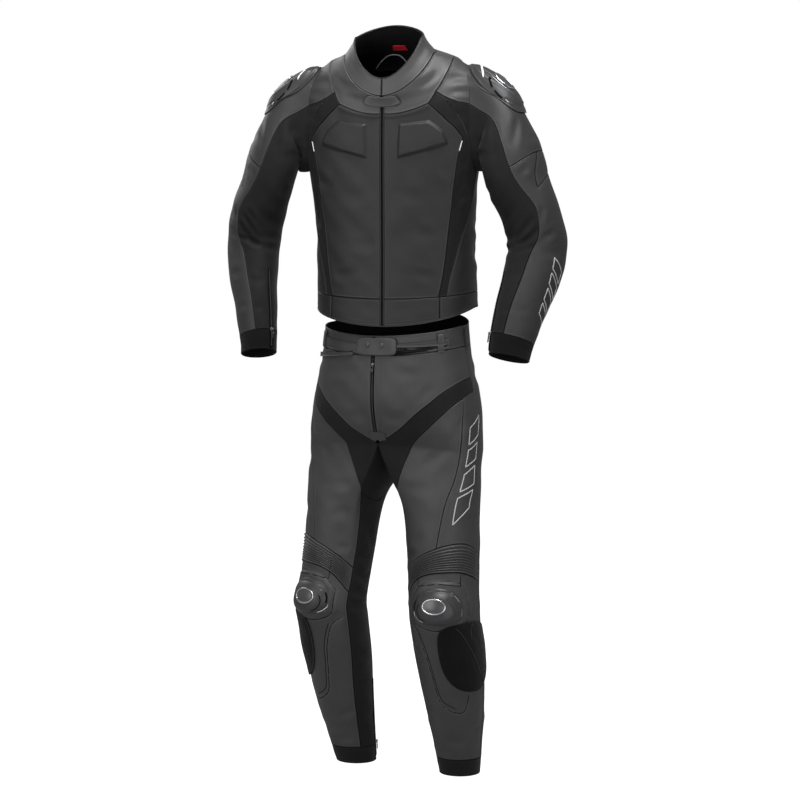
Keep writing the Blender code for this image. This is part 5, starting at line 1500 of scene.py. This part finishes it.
def cloth_top(points, panels, surface, side):
    """Height of the finished cloth over its surface at points, from the nearest point of any panel there."""
    grids = [g for p in panels if p.surface is surface for g in p.grids if g["side"] == side]
    base = np.concatenate([g["points"].reshape(-1, 3) for g in grids])
    high = np.concatenate([np.sum((g["outer"] - g["points"]) * g["normal"], -1).ravel() for g in grids])
    near = np.all((base > points.min(0) - .02) & (base < points.max(0) + .02), axis=1)
    base, high = base[near], high[near]
    parts = np.array_split(points, 1 + len(points) // 200)
    nearest = [np.argmin(np.sum((part[:, None] - base[None]) ** 2, -1), axis=1) for part in parts]
    return high[np.concatenate(nearest)]


SEWN_LINES = [
    # name, surface, smooth, places: dark lines on both sides where pieces are sewn on or quilted
    ("shin_line", trousers, True, SHIN_LINE),
    ("shin_line_2", trousers, True, [(t + 3.5, w - .10) for t, w in SHIN_LINE[1:6]]),
    ("elbow_line", sleeve, False, ELBOW_PATCH),
    ("knee_line", trousers, False, [(-18, 3.66), (-18, 4.14), (18, 4.02), (55, 4.11), (55, 3.66)]),
    ("knee_cup_line", trousers, True, KNEE_CUP[:1] + KNEE_CUP[-1:] + KNEE_CUP[-2:-4:-1]),
    ("hem_line", torso, False, [(41, .03), (41, 1.03)]),
]


def sewn_lines(panels):
    for name, surface, curved, places in SEWN_LINES:
        for side in "LR":
            points, _, normal = on_surface(surface, places, side, curved)
            points = points + normal * (cloth_top(points, panels, surface, side) + .00005)[:, None]
            piece(f"{name}_{side}", [tube(points, normal, .0009, .0004, 6)], "black")


def make_bars(panels):
    """Plain outlined slanted bars, printed raised on one thigh and one sleeve."""
    for name, surface, side, start, end, count, wide, slant in BARS:
        start, end, parts = np.array(start, float), np.array(end, float), []
        for i in range(count):
            a, b = (start + (end - start) * (i + share) / count for share in (.08, .80))
            corners = [a + [-wide, slant], a + [wide, -slant], b + [wide, -slant], b + [-wide, slant]]
            points, _, normal = on_surface(surface, corners, side, curved=False, closed=True, per=16)
            points = points + normal * (cloth_top(points, panels, surface, side) + .0002)[:, None]
            parts.append(tube(points[:-1], normal[:-1], .0014, .0006, 6, closed=True))
        piece(name, parts, "grey_print")


def make_slider_patch(side):
    """The pile field for a knee slider, pressed in along its two seams."""
    middle, half = (64, 6.50), (52, 1.02)
    uv, rim = oval(middle, half, 40, 2.4)
    x, y = (uv[..., 0] - middle[0]) / half[0], (uv[..., 1] - middle[1]) / half[1]
    groove = bump((x - .55 * y + .02) / .03) + bump((x - .55 * y - .42) / .03) * (y < .1)
    body = laid(trousers, uv, side, .0015, .0025 + .0010 * smooth(1 - rim, 0, .10) - .0009 * groove)
    name = "slider_patch_" + side
    trim(name + "_pile", [body], "pile", name)
    parts = []
    for places in ([(-.40, -.78), (.0, -.1), (.42, .66)], [(.20, -.93), (.12, -.55), (.10, -.30)]):
        path = through(numbered(places), np.linspace(0, len(places) - 1, 40))
        points, normal = place(trousers, np.array(middle) + path * half, side)
        lift = .0048 + cloth_height(trousers, points, side)
        parts.append(tube(points + normal * lift[:, None], normal, .0008, .0004, 6))
    piece(name + "_seams", parts, "dark_metal")


# ---------------------------------------------------------------- materials
def group(name, inputs, outputs):
    """A node group with sockets for numbers: inputs as (label, value), outputs as labels."""
    tree = bpy.data.node_groups.new(name, "ShaderNodeTree")
    for label, value in inputs:
        tree.interface.new_socket(label, in_out="INPUT", socket_type="NodeSocketFloat").default_value = value
    for label in outputs:
        tree.interface.new_socket(label, in_out="OUTPUT", socket_type="NodeSocketFloat")
    return tree, tree.nodes.new("NodeGroupInput"), tree.nodes.new("NodeGroupOutput")


def node(tree, kind, links=(), **settings):
    """A node with settings by attribute, and its sockets set or linked by name or index."""
    made = tree.nodes.new("ShaderNode" + kind)
    for key, value in settings.items():
        setattr(made, key, value)
    for socket, value in links:
        target = made.inputs[socket]
        if isinstance(value, bpy.types.NodeSocket):
            tree.links.new(value, target)
        else:
            target.default_value = value
    return made


def math_node(tree, operation, *values, clamp=False):
    return node(tree, "Math", enumerate(values), operation=operation, use_clamp=clamp).outputs[0]


def noise(tree, place_node, scale, detail):
    return node(tree, "TexNoise", [("Vector", place_node), ("Scale", scale), ("Detail", detail)])


def leather_grain():
    """Pebbled leather: a height and a colour shade from cells about 1.3 mm wide under soft patches."""
    tree, given, out = group("leather_grain", [("Scale", 760.0)], ("Height", "Shade"))
    times = lambda *values, **more: math_node(tree, "MULTIPLY", *values, **more)
    place_node = node(tree, "TexCoord").outputs["Object"]
    bend = noise(tree, place_node, 90.0, 2.0)
    bent = [(0, bend.outputs["Color"]), (1, (.0016, .0016, .0016))]
    spot = node(tree, "VectorMath", bent, operation="MULTIPLY")
    moved = node(tree, "VectorMath", [(0, place_node), (1, spot.outputs[0])], operation="ADD").outputs[0]
    size = [("Vector", moved), ("Scale", given.outputs["Scale"])]
    cells = node(tree, "TexVoronoi", size, feature="DISTANCE_TO_EDGE")
    pebble = math_node(tree, "POWER", times(cells.outputs["Distance"], 2.2, clamp=True), 0.5)
    fine, patch = noise(tree, place_node, 2400.0, 1.0), noise(tree, place_node, 16.0, 3.0)
    height = math_node(tree, "ADD", pebble, times(fine.outputs[0], 0.2))
    shade = math_node(tree, "ADD", times(patch.outputs[0], .5), times(pebble, .25))
    tree.links.new(height, out.inputs["Height"])
    tree.links.new(shade, out.inputs["Shade"])
    return tree


def stretch_weave():
    """Stretch cloth: fine ribs along the panel crossed by small stitches, from the panel's own lengths."""
    tree, given, out = group("stretch_weave", [("Rib", 1.6)], ("Height", "Shade"))
    times = lambda *values: math_node(tree, "MULTIPLY", *values)
    parts = node(tree, "SeparateXYZ", [(0, node(tree, "Attribute", attribute_name="flow").outputs["Vector"])])
    per_metre = math_node(tree, "DIVIDE", 6283.2, given.outputs["Rib"])
    across = math_node(tree, "SINE", times(parts.outputs[0], per_metre))
    along = math_node(tree, "SINE", times(parts.outputs[1], times(per_metre, 1.3)))
    height = math_node(tree, "ADD", across, times(along, .4))
    patch = noise(tree, node(tree, "TexCoord").outputs["Object"], 40.0, 3.0)
    shade = math_node(tree, "ADD", times(height, .15), times(patch.outputs[0], .6))
    tree.links.new(height, out.inputs["Height"])
    tree.links.new(shade, out.inputs["Shade"])
    return tree


def seam_shade():
    """Painted shade down in a seam, and a little lighter on its full edge as rubbed wear and painted highlight,
    by each point's distance.
    """
    tree, _, out = group("seam_shade", [], ("Dark", "RubAndHighlight"))
    d = node(tree, "Attribute", attribute_name="seam").outputs["Fac"]

    def ramp(low, high, *more):
        """From 0 at low to 1 at high, or as more says, by a smooth step."""
        ends = [("Value", d), ("From Min", low), ("From Max", high), *more]
        return node(tree, "MapRange", ends, interpolation_type="SMOOTHSTEP").outputs[0]

    falling = (("To Min", 1.0), ("To Max", 0.0))
    # painted shade down in the seam groove
    tree.links.new(ramp(0.0004, 0.0026, *falling), out.inputs["Dark"])
    # the lighter band on the full edge beside it: rubbed wear and painted highlight where the edge rolls
    rub_and_highlight = math_node(tree, "MULTIPLY", ramp(0.0008, 0.0022), ramp(0.0026, 0.0070, *falling))
    tree.links.new(rub_and_highlight, out.inputs["RubAndHighlight"])
    return tree


CLOTH_LOOKS = {
    # look: (texture group, its size, low colour, high colour, rub and highlight colour, roughness, gloss, bump m,
    # sheen)
    "leather": (
        "leather_grain", 760.0, (.0112, .0112, .0116), (.0206, .0206, .0211), (.045, .045, .046),
        .45, .32, .00022, 0.0,
    ),
    # arm: the jacket's leather between the lit shoulder and the body, a painted step where the light falls off to
    # the sleeve
    "arm": (
        "leather_grain", 760.0, (.0200, .0200, .0205), (.0345, .0345, .0352), (.062, .062, .063),
        .49, .32, .00022, 0.0,
    ),
    "hide": (
        "leather_grain", 760.0, (.028, .028, .0285), (.048, .048, .049), (.085, .085, .087),
        .46, .38, .00022, 0.0,
    ),
    # satin finish by its gloss, and a colour lighter than the body's leather as painted light where the top light
    # falls on yoke and collar
    "satin": (
        "leather_grain", 760.0, (.028, .028, .0285), (.060, .060, .061), (.10, .10, .103),
        .41, .50, .00018, 0.0,
    ),
    "stretch": (
        "stretch_weave", 1.6, (.0050, .0050, .0053), (.0115, .0115, .012), (.014, .014, .0145),
        .60, .13, .00012, .06,
    ),
    "cuff": (
        "stretch_weave", 2.4, (.003, .003, .0032), (.007, .007, .0073), (.009, .009, .0095),
        .9, .10, .00018, .05,
    ),
    "pile": (
        "leather_grain", 1500.0, (.0035, .0035, .004), (.0085, .0085, .009), (.0085, .0085, .009),
        .95, .06, .00030, .10,
    ),
    "lining": (
        "stretch_weave", 1.2, (.0045, .0045, .005), (.011, .011, .0115), (.011, .011, .0115),
        .95, .08, .00008, .04,
    ),
}
PLAIN_LOOKS = {
    # look: (colour, roughness, gloss, metallic)
    "thread": ((.060, .060, .061), .7, .3, 0.0),
    "guard": ((.026, .026, .027), .42, .45, 0.0),
    "badge": ((.085, .085, .088), .30, .5, .5),
    "chrome": ((.52, .53, .55), .22, .5, 1.0),
    "metal": ((.30, .30, .31), .34, .5, 1.0),
    "dark_metal": ((.085, .085, .09), .42, .5, 1.0),
    "black": ((.0025, .0025, .0025), .85, .08, 0.0),
    "piping": ((.75, .75, .76), .5, .4, 0.0),
    "grey_print": ((.44, .44, .45), .55, .4, 0.0),
    "red": ((.80, .02, .035), .6, .3, 0.0),
    "floor": ((.38, .38, .38), .9, .3, 0.0),
}
LOOKS = {}


def new_look(name, **values):
    """A material with the values of its shader's sockets by name, its tree and its shader."""
    LOOKS[name] = made = bpy.data.materials.new(name)
    made.use_nodes = True
    shader = made.node_tree.nodes["Principled BSDF"]
    for label, value in values.items():
        shader.inputs[label].default_value = value
    return made.node_tree, shader


def blend(tree, share, first, second):
    """A colour between two, by a share."""
    return node(tree, "Mix", [(0, share), (6, first), (7, second)], data_type="RGBA").outputs[2]


def cloth_look(name, groups, texture, size, low, high, rub_and_highlight, rough, gloss, bump_high, sheen):
    """Two shades by the cloth's grain, lighter beside the seams as rubbed wear and painted highlight, and darker
    down in them as painted shade.
    """
    tree, shader = new_look(name, **{"Roughness": rough, "Specular IOR Level": gloss, "Sheen Weight": sheen})
    grain = node(tree, "Group", node_tree=groups[texture])
    grain.inputs[0].default_value = size
    seams = node(tree, "Group", node_tree=groups["seam_shade"])
    body = blend(tree, grain.outputs["Shade"], (*low, 1), (*high, 1))
    # beside the seams: partly rubbed wear, partly painted highlight on the rolled edge
    rubbed_and_lit = blend(tree, math_node(tree, "MULTIPLY", seams.outputs["RubAndHighlight"], .22), body, (*rub_and_highlight, 1))
    # colour of the painted shade down in the seams
    deep = (low[0] * .2, low[1] * .2, low[2] * .2, 1)
    final = blend(tree, math_node(tree, "MULTIPLY", seams.outputs["Dark"], .9), rubbed_and_lit, deep)
    bump_in = [("Height", grain.outputs["Height"]), ("Strength", .6), ("Distance", bump_high)]
    rise = node(tree, "Bump", bump_in)
    tree.links.new(final, shader.inputs["Base Color"])
    tree.links.new(rise.outputs[0], shader.inputs["Normal"])


def make_looks():
    groups = {"leather_grain": leather_grain(), "stretch_weave": stretch_weave(), "seam_shade": seam_shade()}
    for name, look in CLOTH_LOOKS.items():
        cloth_look(name, groups, *look)
    for name, (colour, rough, gloss, metal) in PLAIN_LOOKS.items():
        new_look(name, **{
            "Base Color": (*colour, 1), "Roughness": rough, "Specular IOR Level": gloss, "Metallic": metal,
        })


# ---------------------------------------------------------------- the stage
def make_floor():
    """A plain pale floor just under the legs: as white to the camera as the world, and clear from below."""
    square = ((-1, -1), (1, -1), (1, 1), (-1, 1))
    corners = [(x * FLOOR_HALF, y * FLOOR_HALF, FLOOR_HEIGHT) for x, y in square]
    mesh = bpy.data.meshes.new("floor")
    mesh.from_pydata(corners, [], [(0, 1, 2, 3)])
    mesh.materials.append(LOOKS["floor"])
    floor = bpy.data.objects.new("floor", mesh)
    bpy.context.scene.collection.objects.link(floor)
    tree = LOOKS["floor"].node_tree
    shader, shown = tree.nodes["Principled BSDF"], tree.nodes["Material Output"]
    shader.inputs["Emission Color"].default_value = (1, 1, 1, 1)
    tree.links.new(node(tree, "LightPath").outputs["Is Camera Ray"], shader.inputs["Emission Strength"])
    under = node(tree, "NewGeometry").outputs["Backfacing"]
    clear = node(tree, "BsdfTransparent").outputs[0]
    either = node(tree, "MixShader", [(0, under), (1, shader.outputs[0]), (2, clear)])
    tree.links.new(either.outputs[0], shown.inputs["Surface"])


def aimed(name, data, where, away):
    """A camera or light that looks against the direction away."""
    obj = bpy.data.objects.new(name, data)
    obj.location = where
    obj.rotation_euler = Vector(away).to_track_quat("Z", "Y").to_euler()
    bpy.context.scene.collection.objects.link(obj)
    return obj


LIGHTS = [
    # name, where, aim, size m, watts
    ("top_light", (.7, -1.1, 2.3), (0, 0, -.35), 1.5, 118.0),
    ("front_light", (-1.5, -3.3, .2), (0, 0, -.9), 2.4, 46.0),
    ("low_light", (2.2, -2.4, -1.2), (0, 0, -1.1), 2.0, 26.0),
    ("rim_light", (-2.2, 1.4, .9), (0, 0, -.5), 1.6, 20.0),
]


def make_stage():
    """The camera, the soft lights, and a world that the camera sees as white."""
    scene = bpy.context.scene
    turn, rise = np.radians(CAMERA_TURN), np.radians(CAMERA_RISE)
    away = np.array([np.sin(turn) * np.cos(rise), -np.cos(turn) * np.cos(rise), np.sin(rise)])
    lens = bpy.data.cameras.new("camera")
    lens.lens, lens.sensor_width = LENS, SENSOR
    scene.camera = aimed("camera", lens, np.array(CAMERA_AIM) + away * CAMERA_AWAY, away)
    for name, where, aim, size, power in LIGHTS:
        light = bpy.data.lights.new(name, "AREA")
        light.size, light.energy = size, power
        aimed(name, light, where, Vector(where) - Vector(aim))
    world = bpy.data.worlds.new("world")
    world.use_nodes = True
    scene.world = world
    tree = world.node_tree
    seen = node(tree, "LightPath").outputs["Is Camera Ray"]
    strength = math_node(tree, "ADD", math_node(tree, "MULTIPLY", seen, WORLD_SEEN), WORLD_LIGHT)
    background = tree.nodes["Background"]
    background.inputs["Color"].default_value = (1, 1, 1, 1)
    tree.links.new(strength, background.inputs["Strength"])
    scene.view_settings.view_transform = "Standard"


# ---------------------------------------------------------------- all of it
def main():
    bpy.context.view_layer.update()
    make_looks()
    make_stage()
    make_floor()
    panels = []
    for table in (torso_panels(), sleeve_panels(), trousers_panels()):
        for name, blocks in table.items():
            for side in "L" if name in WHOLE else "LR":
                panel = Panel(name, side, blocks)
                panel.build()
                panels.append(panel)
    sew(panels)
    make_closed_zips()
    for side in "LR":
        make_guard("shoulder_guard", side)
        make_guard("knee_guard", side)
        make_slider_patch(side)
    make_waist()
    make_front_zip()
    make_fly()
    make_collar_tab()
    make_label()
    make_collar_lining()
    make_bindings()
    make_bars(panels)
    sewn_lines(panels)


COARSE = 1.0
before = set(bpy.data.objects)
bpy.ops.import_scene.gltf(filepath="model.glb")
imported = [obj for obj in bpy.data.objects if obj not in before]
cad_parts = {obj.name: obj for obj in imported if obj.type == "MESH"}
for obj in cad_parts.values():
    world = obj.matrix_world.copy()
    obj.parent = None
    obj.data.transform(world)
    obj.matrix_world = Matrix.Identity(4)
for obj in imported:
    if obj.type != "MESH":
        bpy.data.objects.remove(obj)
main()
